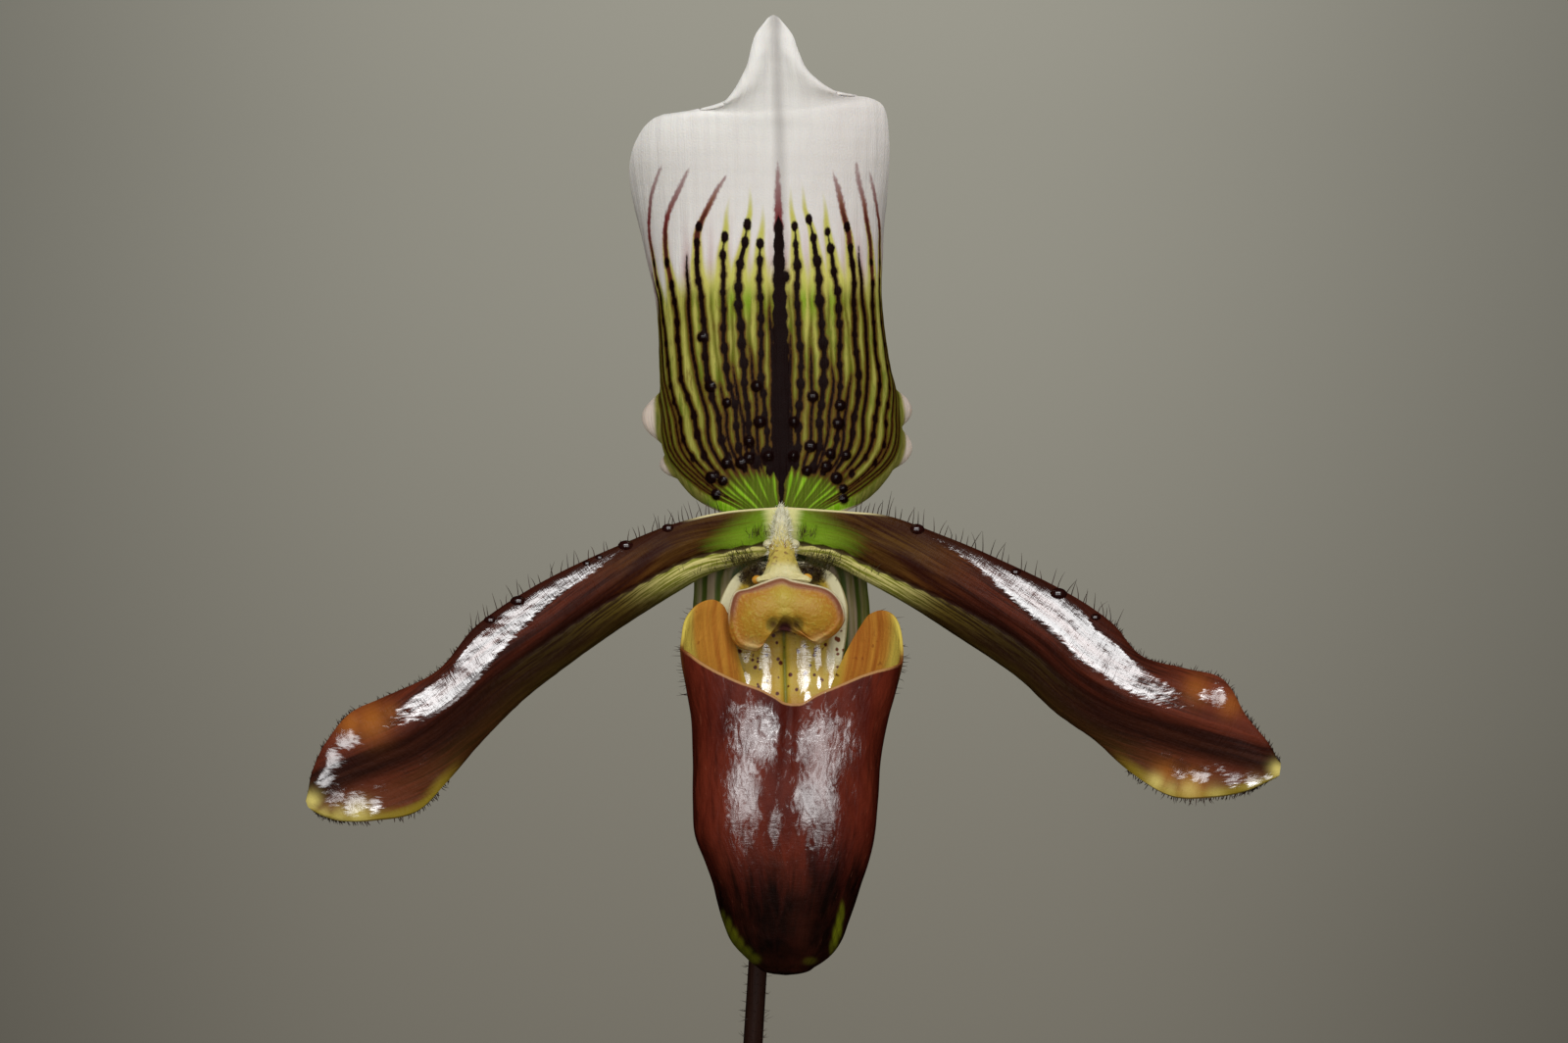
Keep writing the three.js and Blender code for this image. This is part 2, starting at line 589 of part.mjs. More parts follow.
// Each row: height, half width, half depth, and the section's middle in x and y.
const POUCH_SECTIONS = [
  [-48.6, 0.0, 0.0, 0.5, -18.2],
  [-48.4, 1.6, 1.5, 0.5, -18.2],
  [-47.6, 3.4, 3.2, 0.5, -18.1],
  [-46.5, 4.8, 4.5, 0.6, -18.0],
  [-44.8, 6.1, 5.8, 0.5, -17.9],
  [-42.6, 7.1, 6.9, 0.5, -17.7],
  [-40.3, 7.8, 7.7, 0.6, -17.5],
  [-38.1, 8.4, 8.4, 0.7, -17.3],
  [-35.8, 9.2, 9.1, 0.7, -17.0],
  [-32.5, 10.3, 9.9, 0.5, -16.5],
  [-29.0, 10.7, 10.3, 0.5, -16.1],
  [-24.0, 10.8, 10.2, 0.6, -15.6],
  [-19.0, 11.1, 9.7, 0.9, -15.1],
  [-15.7, 11.7, 9.3, 1.1, -14.8],
  [-12.5, 12.4, 9.0, 1.2, -14.5],
  [-9.0, 12.6, 8.8, 1.2, -14.3],
  [-6.0, 12.1, 8.4, 1.1, -14.1],
  [-4.0, 11.4, 8.0, 1.0, -14.0],
];
// The rim's height by angle from the front, the same on both sides.
const RIM_HEIGHTS = [
  [0, -17.6], [20, -17.0], [45, -15.1], [68, -13.5], [82, -12.2], [90, -9.6], [98, -7.2],
  [110, -6.1], [128, -5.8], [142, -6.7], [150, -9.2], [158, -13.0], [166, -14.4], [180, -14.8],
];

const sectionAt = (column, z) => readTable(POUCH_SECTIONS.map((row) => [row[0], row[column]]), z);

// A point of the pouch's skin, inset by the wall: angle 0 is the front, height 0 the toe and 1 the rim.
function pouchPoint(angle, height, inset) {
  const turn = THREE.MathUtils.euclideanModulo(THREE.MathUtils.radToDeg(angle) + 180, 360) - 180;
  const rightEarDrop = turn < 0 ? 1.2 * smooth(-turn, 82, 105) * (1 - smooth(-turn, 135, 160)) : 0;
  const rim = readTable(RIM_HEIGHTS, Math.abs(turn)) - rightEarDrop;
  const toe = POUCH_SECTIONS[0][0];
  const z = lerp(toe, rim, Math.pow(height, 1.5));
  const halfWidth = Math.max(sectionAt(1, z) - inset, 0);
  const halfDepth = Math.max(sectionAt(2, z) - inset, 0);
  return vec(
    sectionAt(3, z) - halfWidth * Math.sin(angle),
    sectionAt(4, z) - halfDepth * Math.cos(angle),
    z + inset * (1 - smooth(height, 0, 0.3)),
  );
}

// An open cup with an outer and an inner skin that meet at the rim.
function makeCup(skin, wall, sides, rows) {
  const points = [skin(0, 0, 0)];
  const triangles = [];
  const ringStart = (j) => 1 + (j - 1) * sides;
  for (let j = 1; j <= rows; j++) {
    for (let i = 0; i < sides; i++) points.push(skin((2 * Math.PI * i) / sides, j / rows, 0));
  }
  const innerStart = points.length;
  points.push(skin(0, 0, wall));
  const innerRing = (j) => innerStart + 1 + (j - 1) * sides;
  for (let j = 1; j <= rows; j++) {
    for (let i = 0; i < sides; i++) points.push(skin((2 * Math.PI * i) / sides, j / rows, wall));
  }
  for (let i = 0; i < sides; i++) {
    const next = (i + 1) % sides;
    triangles.push(0, ringStart(1) + i, ringStart(1) + next);
    triangles.push(innerStart, innerRing(1) + next, innerRing(1) + i);
    for (let j = 1; j < rows; j++) {
      const [a, b] = [ringStart(j), ringStart(j + 1)];
      triangles.push(a + i, b + next, a + next, a + i, b + i, b + next);
      const [c, d] = [innerRing(j), innerRing(j + 1)];
      triangles.push(c + i, c + next, d + next, c + i, d + next, d + i);
    }
    const [outer, inner] = [ringStart(rows), innerRing(rows)];
    triangles.push(outer + i, inner + next, outer + next, outer + i, inner + i, inner + next);
  }
  return closedGeometry(points, triangles);
}

const CLAW_ROWS = [
  [[-2.6, -1.6, -10], [0, 1.3, -1.5], [3.0, -1.6, -10]],
  [[-5.4, -3.2, -45], [0.1, 0.7, -3.8], [6.0, -3.0, -45]],
  [[-7.0, -6.4, -55], [0.2, -0.6, -6.8], [7.3, -6.0, -55]],
  [[-7.2, -10, -50], [0.3, -2.4, -10.4], [7.6, -9.6, -50]],
  [[-6.4, -14, -45], [0.4, -4.2, -14.2], [7.2, -14, -45]],
  [[-6.0, -18, -40], [0.5, -5.7, -18], [6.9, -18, -40]],
  [[-5.8, -21, -35], [0.5, -6.2, -21], [6.7, -21, -35]],
];

function makeLip() {
  const inFrame = (angle, height, inset) => pouchPoint(angle, height, inset).add(FLOWER_CENTRE);
  const pouch = toSolid(makeCup(inFrame, LIP_WALL, 32, 13));
  const claw = toSolid(sheet(inFlower(petalSurface(CLAW_ROWS)), LIP_WALL, 8, 9));
  return toGeometry(pouch.add(claw));
}
place("lip_pouch", makeLip(), lipMaroon);

// Column: the cream stalk in the flower's middle, with an anther on each side and the stigma, a small
// disc on a neck, under its tip.

function makeColumn() {
  const path = [
    vec(0, 1.4, 2.4),
    vec(0, -1.0, 2.1),
    vec(0, -3.0, 0.8),
    vec(0.1, -5.0, -1.1),
    vec(0.2, -6.8, -3.0),
    vec(0.3, -7.6, -3.7),
  ];
  const radii = [[0, 1.15], [0.2, 1.2], [0.45, 1.9], [0.7, 2.0], [1, 1.1]];
  const stalk = toSolid(
    taperedTube(path.map((p) => p.add(FLOWER_CENTRE)), (t) => readTable(radii, t), 12, 10),
  );
  const ball = (x, y, z, rx, ry, rz) => {
    const shape = new THREE.IcosahedronGeometry(1, 1).scale(rx, ry, rz).translate(x, y, z);
    return toSolid(shape.translate(FLOWER_CENTRE.x, FLOWER_CENTRE.y, FLOWER_CENTRE.z));
  };
  const anthers = [ball(-2.4, -4.6, -2.4, 1.3, 1.2, 1.6), ball(2.6, -4.6, -2.4, 1.3, 1.2, 1.6)];
  const neck = toSolid(
    taperedTube(
      [vec(0.2, -4.6, -2.0), vec(0.2, -5.2, -7.4)].map((p) => p.add(FLOWER_CENTRE)),
      () => 1.0,
      8,
      2,
    ),
  );
  const stigma = ball(0.2, -5.4, -7.4, 3.0, 2.0, 1.2);
  return toGeometry(wasm.Manifold.union([stalk, ...anthers, neck, stigma]));
}
place("column", makeColumn(), columnCream);

// Staminode: the shield in front of the column, kidney shaped, domed, and notched above and below.

const SHIELD_CENTRE = vec(0.6, -9.5, -7.0);
const SHIELD_OUTLINE = [
  [-0.1, -3.1], [-2.0, -3.7], [-3.8, -4.4], [-5.3, -4.9], [-5.9, -6.5], [-6.0, -8.2], [-5.7, -9.9],
  [-5.0, -10.9], [-3.8, -11.4], [-2.7, -11.5], [-2.1, -10.8], [-1.3, -9.7], [0, -9.2], [1.7, -9.6],
  [2.8, -10.1], [4.0, -10.8], [5.0, -10.3], [6.0, -9.7], [6.8, -8.8], [7.2, -7.7], [6.9, -6.3],
  [6.2, -5.2], [5.1, -4.4], [3.2, -3.9], [1.3, -3.5],
];

function makeShield() {
  const outline = new THREE.CatmullRomCurve3(
    SHIELD_OUTLINE.map(([x, z]) => vec(x, SHIELD_CENTRE.y, z)),
    true,
    "catmullrom",
    0.5,
  );
  const bulge = 1.5;
  const thickness = 0.9;
  const sides = 28;
  const rings = 4;
  const dome = (k, i, depth) => {
    const share = k / rings;
    const point = SHIELD_CENTRE.clone().lerp(outline.getPoint(i / sides), share);
    point.y += depth - bulge * (1 - share * share);
    return point.add(FLOWER_CENTRE);
  };
  const points = [];
  const triangles = [];
  for (const depth of [0, thickness]) {
    points.push(dome(0, 0, depth));
    for (let k = 1; k <= rings; k++) for (let i = 0; i < sides; i++) points.push(dome(k, i, depth));
  }
  const shift = 1 + rings * sides;
  for (let i = 0; i < sides; i++) {
    const next = (i + 1) % sides;
    triangles.push(0, 1 + i, 1 + next, shift, shift + 1 + next, shift + 1 + i);
    for (let k = 1; k < rings; k++) {
      const a = 1 + (k - 1) * sides;
      const b = a + sides;
      triangles.push(a + i, b + i, b + next, a + i, b + next, a + next);
      triangles.push(shift + a + i, shift + b + next, shift + b + i);
      triangles.push(shift + a + i, shift + a + next, shift + b + next);
    }
    const rim = 1 + (rings - 1) * sides;
    triangles.push(rim + i, shift + rim + i, shift + rim + next, rim + i, shift + rim + next, rim + next);
  }
  return closedGeometry(points, triangles);
}
place("staminode", makeShield(), shieldAmber);

export default plant;
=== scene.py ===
"""Looks for the potted slipper orchid: one section for each piece, from the pot up to the flower.

Metres, +Z up, the flower faces -Y. Tables and sizes are in millimetres and become metres where a mesh is
made. FLOWER is the front of the column, from which the flower's own tables are measured.
"""

import math

import bpy
import numpy as np
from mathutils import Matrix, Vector


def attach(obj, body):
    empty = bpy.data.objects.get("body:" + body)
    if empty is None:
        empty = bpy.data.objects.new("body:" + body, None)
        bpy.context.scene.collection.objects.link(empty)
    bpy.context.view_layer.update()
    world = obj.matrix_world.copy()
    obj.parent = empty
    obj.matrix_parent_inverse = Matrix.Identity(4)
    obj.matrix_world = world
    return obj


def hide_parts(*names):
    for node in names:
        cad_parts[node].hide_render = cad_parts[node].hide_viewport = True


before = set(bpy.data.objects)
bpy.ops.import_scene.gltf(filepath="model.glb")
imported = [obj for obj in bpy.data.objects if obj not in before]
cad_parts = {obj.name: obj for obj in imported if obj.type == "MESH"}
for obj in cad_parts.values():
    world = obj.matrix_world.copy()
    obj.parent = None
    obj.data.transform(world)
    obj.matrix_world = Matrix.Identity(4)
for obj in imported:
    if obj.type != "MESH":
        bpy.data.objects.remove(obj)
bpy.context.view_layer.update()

# Camera: level with the flower and straight in front of it, close enough that the pot and the leaves
# lie below the picture, as in the photograph.

MM = 0.001
FLOWER = np.array([8.0, -27.0, 330.0])
VIEW_CENTRE = FLOWER + (0.3, 0.0, 3.1)
VIEW_DISTANCE = 700.0
VIEW_WIDTH = 179.2
SENSOR_WIDTH = 36.0

lens = bpy.data.cameras.new("portrait_camera")
lens.sensor_width = SENSOR_WIDTH
lens.lens = SENSOR_WIDTH * VIEW_DISTANCE / VIEW_WIDTH
lens.clip_end = 20.0
camera = bpy.data.objects.new("portrait_camera", lens)
camera.location = (VIEW_CENTRE - (0.0, VIEW_DISTANCE, 0.0)) * MM
camera.rotation_euler = (math.radians(90), 0.0, 0.0)
bpy.context.scene.collection.objects.link(camera)
bpy.context.scene.camera = camera
bpy.context.scene.view_settings.view_transform = "Standard"

# Backdrop: a pale floor that sweeps up, far behind the plant, into a plain grey studio wall. Two soft
# boxes, one high in front and one just above the camera, light the flower, and a lamp lights the wall.

FLOOR_REACH = 2.75
SWEEP = 0.6
WALL_HEIGHT = 3.0
STAGE_HALF_WIDTH = 4.0


def srgb(red, green, blue):
    """A colour as seen on screen, 0 to 255 a channel, turned into the linear values that shaders take."""
    channels = [c / 255 for c in (red, green, blue)]
    linear = [c / 12.92 if c <= 0.04045 else ((c + 0.055) / 1.055) ** 2.4 for c in channels]
    return (*linear, 1.0)


class Mark:
    """A value or a colour that varies over a surface; sums and products of marks are shader nodes."""

    def __init__(self, socket):
        self.socket = socket

    def __add__(self, other):
        return maths("ADD", self, other)

    def __sub__(self, other):
        return maths("SUBTRACT", self, other)

    def __rsub__(self, other):
        return maths("SUBTRACT", other, self)

    def __mul__(self, other):
        return maths("MULTIPLY", self, other)

    def __abs__(self):
        return maths("ABSOLUTE", self)


def node(kind, *values, tree=None, **settings):
    """A new shader node: values go to its inputs in order, as marks or as constants, and None skips one."""
    tree = tree or next(value.socket.id_data for value in values if isinstance(value, Mark))
    made = tree.nodes.new(kind)
    for name, setting in settings.items():
        setattr(made, name, setting)
    for socket, value in zip(made.inputs, values):
        if isinstance(value, Mark):
            tree.links.new(value.socket, socket)
        elif value is not None:
            socket.default_value = value
    return made


def maths(operation, *values):
    """One arithmetic step."""
    return Mark(node("ShaderNodeMath", *values, operation=operation).outputs[0])


def blend(factor, low, high):
    """The colour low where factor is 0 and high where it is 1; a plain colour is 0 to 255, as on screen."""
    low, high = (srgb(*colour) if isinstance(colour, tuple) else colour for colour in (low, high))
    unused = [None] * 5
    return Mark(node("ShaderNodeMix", factor, *unused, low, high, data_type="RGBA").outputs[2])


def ranged(value, start, end, low, high, interpolation_type="LINEAR"):
    """low where value is at start, high where it is at end, and between them in between."""
    mapped = node("ShaderNodeMapRange", value, start, end, low, high, interpolation_type=interpolation_type)
    return Mark(mapped.outputs[0])


def step(value, start, end):
    """A soft step: 0 where value is at start, 1 where it is at end; start may be the larger."""
    return ranged(value, start, end, 0.0, 1.0, "SMOOTHSTEP")


def place(tree):
    """Where the shaded point is on the object, in metres."""
    return Mark(node("ShaderNodeTexCoord", tree=tree).outputs["Object"])


def parts(coordinates):
    """The x, y and z of coordinates."""
    return [Mark(socket) for socket in node("ShaderNodeSeparateXYZ", coordinates).outputs]


def material(name, **constants):
    """A new material and its tree, with the constants set on the shader's own sockets."""
    finish = bpy.data.materials.new(name)
    finish.use_nodes = True
    shader = finish.node_tree.nodes["Principled BSDF"]
    for socket, value in constants.items():
        shader.inputs[socket.replace("_", " ")].default_value = value
    return finish, finish.node_tree


def dressed(finish, **marks):
    """The finish, with each mark linked to the shader's own socket of that name."""
    tree = finish.node_tree
    for socket, mark in marks.items():
        tree.links.new(mark.socket, tree.nodes["Principled BSDF"].inputs[socket.replace("_", " ")])
    return finish


def grid_faces(rows, columns, closed=False):
    """Quads between neighbouring rows and columns of a grid; closed joins the last column to the first."""
    index = np.arange(rows * columns).reshape(rows, columns)
    right = np.roll(index, -1, axis=1)
    if not closed:
        index, right = index[:, :-1], right[:, :-1]
    quads = np.stack([index[:-1], right[:-1], right[1:], index[1:]], axis=-1)
    return quads.reshape(-1, 4).tolist()


def stage_finish():
    """Pale near the plant and grey farther off; the grey has painted light and shade, lighter with height and
    darker to both far sides, most of all low down."""
    finish, tree = material("studio_paper", Roughness=0.95, Specular_IOR_Level=0.1)
    across, depth, height = parts(place(tree))
    # Painted light and shade on the wall: lighter with height, darker towards both far sides and low down.
    grey = blend(step(height, -0.05, 0.65), (113, 110, 102), (137, 136, 128))
    painted_side_shade = step(abs(across + 0.03), 0.18, 0.66)
    painted_low_shade = painted_side_shade * step(height, 0.24, -0.05)
    grey = blend(painted_side_shade * 0.24, grey, (20, 20, 18))
    grey = blend(painted_low_shade * 0.22, grey, (20, 20, 18))
    paper = blend(step(depth, 0.9, 2.6), (205, 203, 196), grey)
    return dressed(finish, Base_Color=paper)


sweep_angle = np.linspace(0, np.pi / 2, 25)
wall_y = FLOOR_REACH + SWEEP
stage_y = np.concatenate([[-STAGE_HALF_WIDTH], FLOOR_REACH + SWEEP * np.sin(sweep_angle), [wall_y]])
stage_z = np.concatenate([[0.0], SWEEP * (1 - np.cos(sweep_angle)), [WALL_HEIGHT]])
stage_x = np.array([-STAGE_HALF_WIDTH, STAGE_HALF_WIDTH])
stage_points = [(x, y, z) for y, z in zip(stage_y, stage_z) for x in stage_x]
stage_mesh = bpy.data.meshes.new("studio_sweep")
stage_mesh.from_pydata(stage_points, [], grid_faces(len(stage_y), 2))
stage_mesh.shade_smooth()
stage_mesh.materials.append(stage_finish())
studio_sweep = bpy.data.objects.new("studio_sweep", stage_mesh)
bpy.context.scene.collection.objects.link(studio_sweep)
studio_sweep.visible_glossy = False

world = bpy.data.worlds.new("studio")
world.use_nodes = True
world.node_tree.nodes["Background"].inputs[0].default_value = srgb(150, 148, 138)
world.node_tree.nodes["Background"].inputs[1].default_value = 0.5
world.cycles_visibility.glossy = False
bpy.context.scene.world = world


def soft_box(name, offset, aim, width, height, power, colour=(1.0, 1.0, 1.0)):
    """A rectangular lamp at offset from the flower, turned towards aim, both in millimetres."""
    lamp = bpy.data.lights.new(name, "AREA")
    lamp.shape = "RECTANGLE"
    lamp.size, lamp.size_y = width * MM, height * MM
    lamp.energy = power
    lamp.color = colour
    box = bpy.data.objects.new(name, lamp)
    start, end = Vector((FLOWER + offset) * MM), Vector((FLOWER + aim) * MM)
    box.location = start
    box.rotation_euler = (end - start).to_track_quat("-Z", "Y").to_euler()
    bpy.context.scene.collection.objects.link(box)


soft_box("upper_box", (0, -625, 488), (0, 0, 0), 660, 200, 3.9)
soft_box("front_left_box", (-190, -830, 100), (0, 0, -10), 320, 460, 1.55)
soft_box("front_right_box", (200, -830, 100), (0, 0, -10), 320, 460, 1.45)
soft_box("wall_lamp", (60, 2380, 720), (0, 3380, 90), 700, 400, 15.0, (1.0, 0.985, 0.95))

# Pot: a plain thrown clay pot with a thick rim band, fired terracotta left unglazed, with four drain
# holes round a solid middle.

POT_HEIGHT = 100.0
POT_BASE_RADIUS = 38.0
POT_RIM_RADIUS = 56.0
RIM_BAND_HEIGHT = 24.0
POT_FLOOR = 5.0
INNER_BASE_RADIUS = POT_BASE_RADIUS - 4.5
INNER_RIM_RADIUS = POT_RIM_RADIUS - 6.5


def stretched(coordinates, x, y, z, turn=(0, 0, 0)):
    """Coordinates scaled by x, y and z and then turned by angles in radians."""
    return Mark(node("ShaderNodeMapping", coordinates, None, turn, (x, y, z)).outputs[0])


def noise(coordinates, scale, detail=3.0, roughness=0.5, distortion=0.0):
    """Cloudy noise from 0 to 1, whose clouds are about 1 / scale across; scale is one number or three."""
    if isinstance(scale, tuple):
        coordinates, scale = stretched(coordinates, *scale), 1.0
    made = node("ShaderNodeTexNoise", coordinates)
    settings = {"Scale": scale, "Detail": detail, "Roughness": roughness, "Distortion": distortion}
    for name, value in settings.items():
        made.inputs[name].default_value = value
    return Mark(made.outputs["Fac"])


def bump(height, distance, strength):
    """A normal bent by a height that varies over the surface; distance is the height's size in metres."""
    tree = height.socket.id_data
    made = tree.nodes.new("ShaderNodeBump")
    made.inputs["Strength"].default_value = strength
    made.inputs["Distance"].default_value = distance
    tree.links.new(height.socket, made.inputs["Height"])
    return Mark(made.outputs[0])


def capped(rows, sides):
    """Faces of stacked rings of points, with one many-sided face to close each end."""
    last = (rows - 1) * sides
    ends = [list(range(sides - 1, -1, -1)), list(range(last, last + sides))]
    return grid_faces(rows, sides, closed=True) + ends


def outward(points, faces):
    """The faces turned round if the closed body that they make has a negative volume."""
    volume = 0.0
    for size in {len(face) for face in faces}:
        group = np.array([face for face in faces if len(face) == size])
        for second in range(1, size - 1):
            a, b, c = (points[group[:, k]] for k in (0, second, second + 1))
            volume += np.einsum("ij,ij->", a - points[0], np.cross(b - points[0], c - points[0]))
    return faces if volume > 0 else [face[::-1] for face in faces]


def build(name, points, faces, finish, cad_node=None, slot=None, fields=None, crease=40.0):
    """An object from points in millimetres and faces, with one float attribute for each named field.

    The piece rides with the plant, hides the CAD node and takes the finish given; a drill has no node.
    The slot argument is not used.
    """
    points = np.asarray(points, float).reshape(-1, 3)
    mesh = bpy.data.meshes.new(name)
    mesh.from_pydata((points * MM).tolist(), [], outward(points, faces))
    for label, values in (fields or {}).items():
        layer = mesh.attributes.new(label, "FLOAT", "POINT")
        layer.data.foreach_set("value", np.ascontiguousarray(values, np.float32).ravel())
    mesh.shade_smooth()
    mesh.set_sharp_from_angle(angle=math.radians(crease))
    mesh.materials.append(finish)
    made = bpy.data.objects.new(name, mesh)
    bpy.context.scene.collection.objects.link(made)
    if cad_node:
        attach(made, "root")
        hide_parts(cad_node)
    return made


def around(count):
    """Evenly spaced angles of one full turn."""
    return np.linspace(0, 2 * np.pi, count, endpoint=False)


def hermite(a, b, start, end, f):
    """The cubic from a at f = 0 to b at f = 1 whose slopes there are start and end."""
    return a + start * f + (3 * (b - a) - 2 * start - end) * f**2 + (2 * (a - b) + start + end) * f**3


def smooth_curve(points, at):
    """A Catmull-Rom curve through evenly spaced points, read at positions from 0 to 1."""
    p = np.asarray(points, float)
    p = np.vstack([2 * p[:1] - p[1:2], p, 2 * p[-1:] - p[-2:-1]])
    x = np.clip(np.asarray(at, float), 0, 1) * (len(p) - 3)
    k = np.minimum(x.astype(int), len(p) - 4)
    f = (x - k)[..., None]
    a, b, c, d = p[k], p[k + 1], p[k + 2], p[k + 3]
    return hermite(b, c, (c - a) / 2, (d - b) / 2, f)


def rounded_profile(corners, radius, arc_steps=5):
    """A polyline whose corners are replaced by short curves of about the given radius."""
    corners = np.asarray(corners, float)
    out = [corners[0]]
    for before, corner, after in zip(corners, corners[1:], corners[2:]):
        reach_in = min(radius, np.linalg.norm(corner - before) * 0.45)
        reach_out = min(radius, np.linalg.norm(after - corner) * 0.45)
        start = corner + (before - corner) / np.linalg.norm(before - corner) * reach_in
        end = corner + (after - corner) / np.linalg.norm(after - corner) * reach_out
        t = np.linspace(0, 1, arc_steps + 1)[:, None]
        out.extend((1 - t) ** 2 * start + 2 * t * (1 - t) * corner + t**2 * end)
    out.append(corners[-1])
    return np.array(out)


def waves(x, y, count, longest, shortest, seed):
    """Smooth random relief from -1 to 1: a seeded sum of waves running in all directions."""
    rng = np.random.default_rng(seed)
    total = np.zeros(np.broadcast(x, y).shape)
    for length in np.geomspace(longest, shortest, count):
        angle, phase = rng.uniform(0, np.pi), rng.uniform(0, 2 * np.pi)
        total += np.sin(2 * np.pi * (x * np.cos(angle) + y * np.sin(angle)) / length + phase)
    return total / math.sqrt(count)


def terracotta():
    """Clay in two cloudy tones, darker along the throwing rings and at the grit, with paler bloom."""
    finish, tree = material("terracotta", Specular_IOR_Level=0.25)
    where = place(tree)
    cloud = noise(where, 35, 5.0, 0.6)
    grit = noise(where, 900, 3.0)
    rings = noise(where, (12, 12, 420), 3.0)
    clay = blend(cloud, (160, 92, 62), (196, 128, 92))
    clay = blend(step(rings, 0.45, 0.75) * 0.35, clay, (150, 84, 56))
    bloom = step(noise(where, 22, 6.0, 0.7), 0.56, 0.78)
    clay = blend(bloom * 0.45, clay, (214, 196, 180))
    clay = blend(step(grit, 0.62, 0.75) * 0.4, clay, (120, 66, 44))
    relief = grit * 0.4 + rings
    return dressed(
        finish,
        Base_Color=clay,
        Roughness=ranged(cloud, 0.0, 1.0, 0.72, 0.92),
        Normal=bump(relief, 0.0006, 0.5),
    )


band_bottom = POT_HEIGHT - RIM_BAND_HEIGHT
pot_profile = rounded_profile(
    [
        (22.0, 0.0),
        (POT_BASE_RADIUS, 0.0),
        (POT_RIM_RADIUS - 7.0, band_bottom),
        (POT_RIM_RADIUS - 3.0, band_bottom + 0.8),
        (POT_RIM_RADIUS, POT_HEIGHT),
        (INNER_RIM_RADIUS, POT_HEIGHT),
        (INNER_BASE_RADIUS, POT_FLOOR),
        (0.4, POT_FLOOR),
    ],
    2.2,
)
DRAIN_RADIUS = 4.0
DRAIN_RING_RADIUS = 20.0


def make_pot():
    """The profile turned about +Z, in close rows on its tall sides, with fine turning marks."""
    spans = np.linalg.norm(np.diff(pot_profile, axis=0), axis=1)
    rows = [pot_profile[:1]]
    for start, end, span in zip(pot_profile, pot_profile[1:], spans):
        t = np.linspace(0, 1, max(1, int(span / 2.2)) + 1)[1:, None]
        rows.append(start + (end - start) * t)
    profile = np.vstack(rows)
    turn = around(128)
    radius = profile[:, :1] + 0.12 * waves(profile[:, 1:], turn * 3.0, 5, 14, 3.5, 3) * (profile[:, :1] > 30)
    points = np.stack(
        [radius * np.cos(turn), radius * np.sin(turn), np.broadcast_to(profile[:, 1:], radius.shape)], axis=-1
    )
    faces = capped(len(profile), len(turn))
    return build("pot", points, faces, terracotta(), "pot", "terracotta", crease=60)


pot = make_pot()
for quarter in range(4):
    angle = (quarter + 0.5) * math.pi / 2
    turn = around(32)
    ring = np.stack([np.cos(turn), np.sin(turn), 0 * turn], axis=-1) * DRAIN_RADIUS
    ring += (DRAIN_RING_RADIUS * math.cos(angle), DRAIN_RING_RADIUS * math.sin(angle), 0)
    drill_points = np.stack([ring - (0, 0, 10), ring + (0, 0, 10)])
    drill = build("drain_drill", drill_points, capped(2, 32), pot.data.materials[0])
    cut = pot.modifiers.new("drain_hole", "BOOLEAN")
    cut.operation = "DIFFERENCE"
    cut.object = drill
    bpy.context.view_layer.update()
    with bpy.context.temp_override(object=pot, active_object=pot):
        bpy.ops.object.modifier_apply(modifier=cut.name)
    bpy.data.objects.remove(drill)

# Bark: chips of fir bark that fill the pot, loose on top and darker where damp, over a packed bed.
# The chips' places and turns come from the same seeded draw as the CAD's.

BARK_LEVEL = 84.0
BED_FLOOR = 70.0
MAIN_GROWTH = np.array([0.0, -5.0, 0.0])
YOUNG_GROWTH = np.array([6.0, 26.0, 0.0])
MAIN_HOLE_RADIUS = 15.2
YOUNG_HOLE_RADIUS = 7.0


def field(tree, name):
    """A value that the mesh carries at each of its points."""
    return Mark(node("ShaderNodeAttribute", tree=tree, attribute_name=name).outputs["Fac"])


def inner_radius(height):
    """The pot's inside radius at a height, in millimetres."""
    share = (height - POT_FLOOR) / (POT_HEIGHT - POT_FLOOR)
    return INNER_BASE_RADIUS + (INNER_RIM_RADIUS - INNER_BASE_RADIUS) * share


def seeded_random(seed):
    """Numbers from 0 to 1 from a linear congruential rule, the CAD's own."""
    state = seed
    while True:
        state = (state * 1664525 + 1013904223) % 4294967296
        yield state / 4294967296


def fir_bark():
    """Brown layers, redder by cloud times the chip's shade, and darkest where the shade nears 1."""
    finish, tree = material("fir_bark", Specular_IOR_Level=0.2)
    where = place(tree)
    shade = field(tree, "shade")
    layers = noise(where, (260, 260, 1100), 4.0, 0.6, 0.4)
    cloud = noise(where, 160, 4.0)
    wood = blend(layers, (70, 42, 26), (140, 92, 58))
    wood = blend(cloud * shade, wood, (92, 50, 32))
    wood = blend(step(shade, 0.55, 1.0), wood, (58, 38, 26))
    relief = layers + noise(where, 1500, 2.0) * 0.4
    return dressed(
        finish,
        Base_Color=wood,
        Roughness=ranged(cloud, 0.0, 1.0, 0.65, 0.95),
        Normal=bump(relief, 0.0008, 0.8),
    )


def rotation(x, y, z):
    """The matrix that turns about X, then Y, then Z."""
    cx, sx, cy, sy, cz, sz = (f(a) for a in (x, y, z) for f in (math.cos, math.sin))
    about_x = np.array([[1, 0, 0], [0, cx, -sx], [0, sx, cx]])
    about_y = np.array([[cy, 0, sy], [0, 1, 0], [-sy, 0, cy]])
    about_z = np.array([[cz, -sz, 0], [sz, cz, 0], [0, 0, 1]])
    return about_z @ about_y @ about_x


def unit(vectors):
    """The vectors, each brought to length 1."""
    return vectors / np.maximum(np.linalg.norm(vectors, axis=-1, keepdims=True), 1e-9)


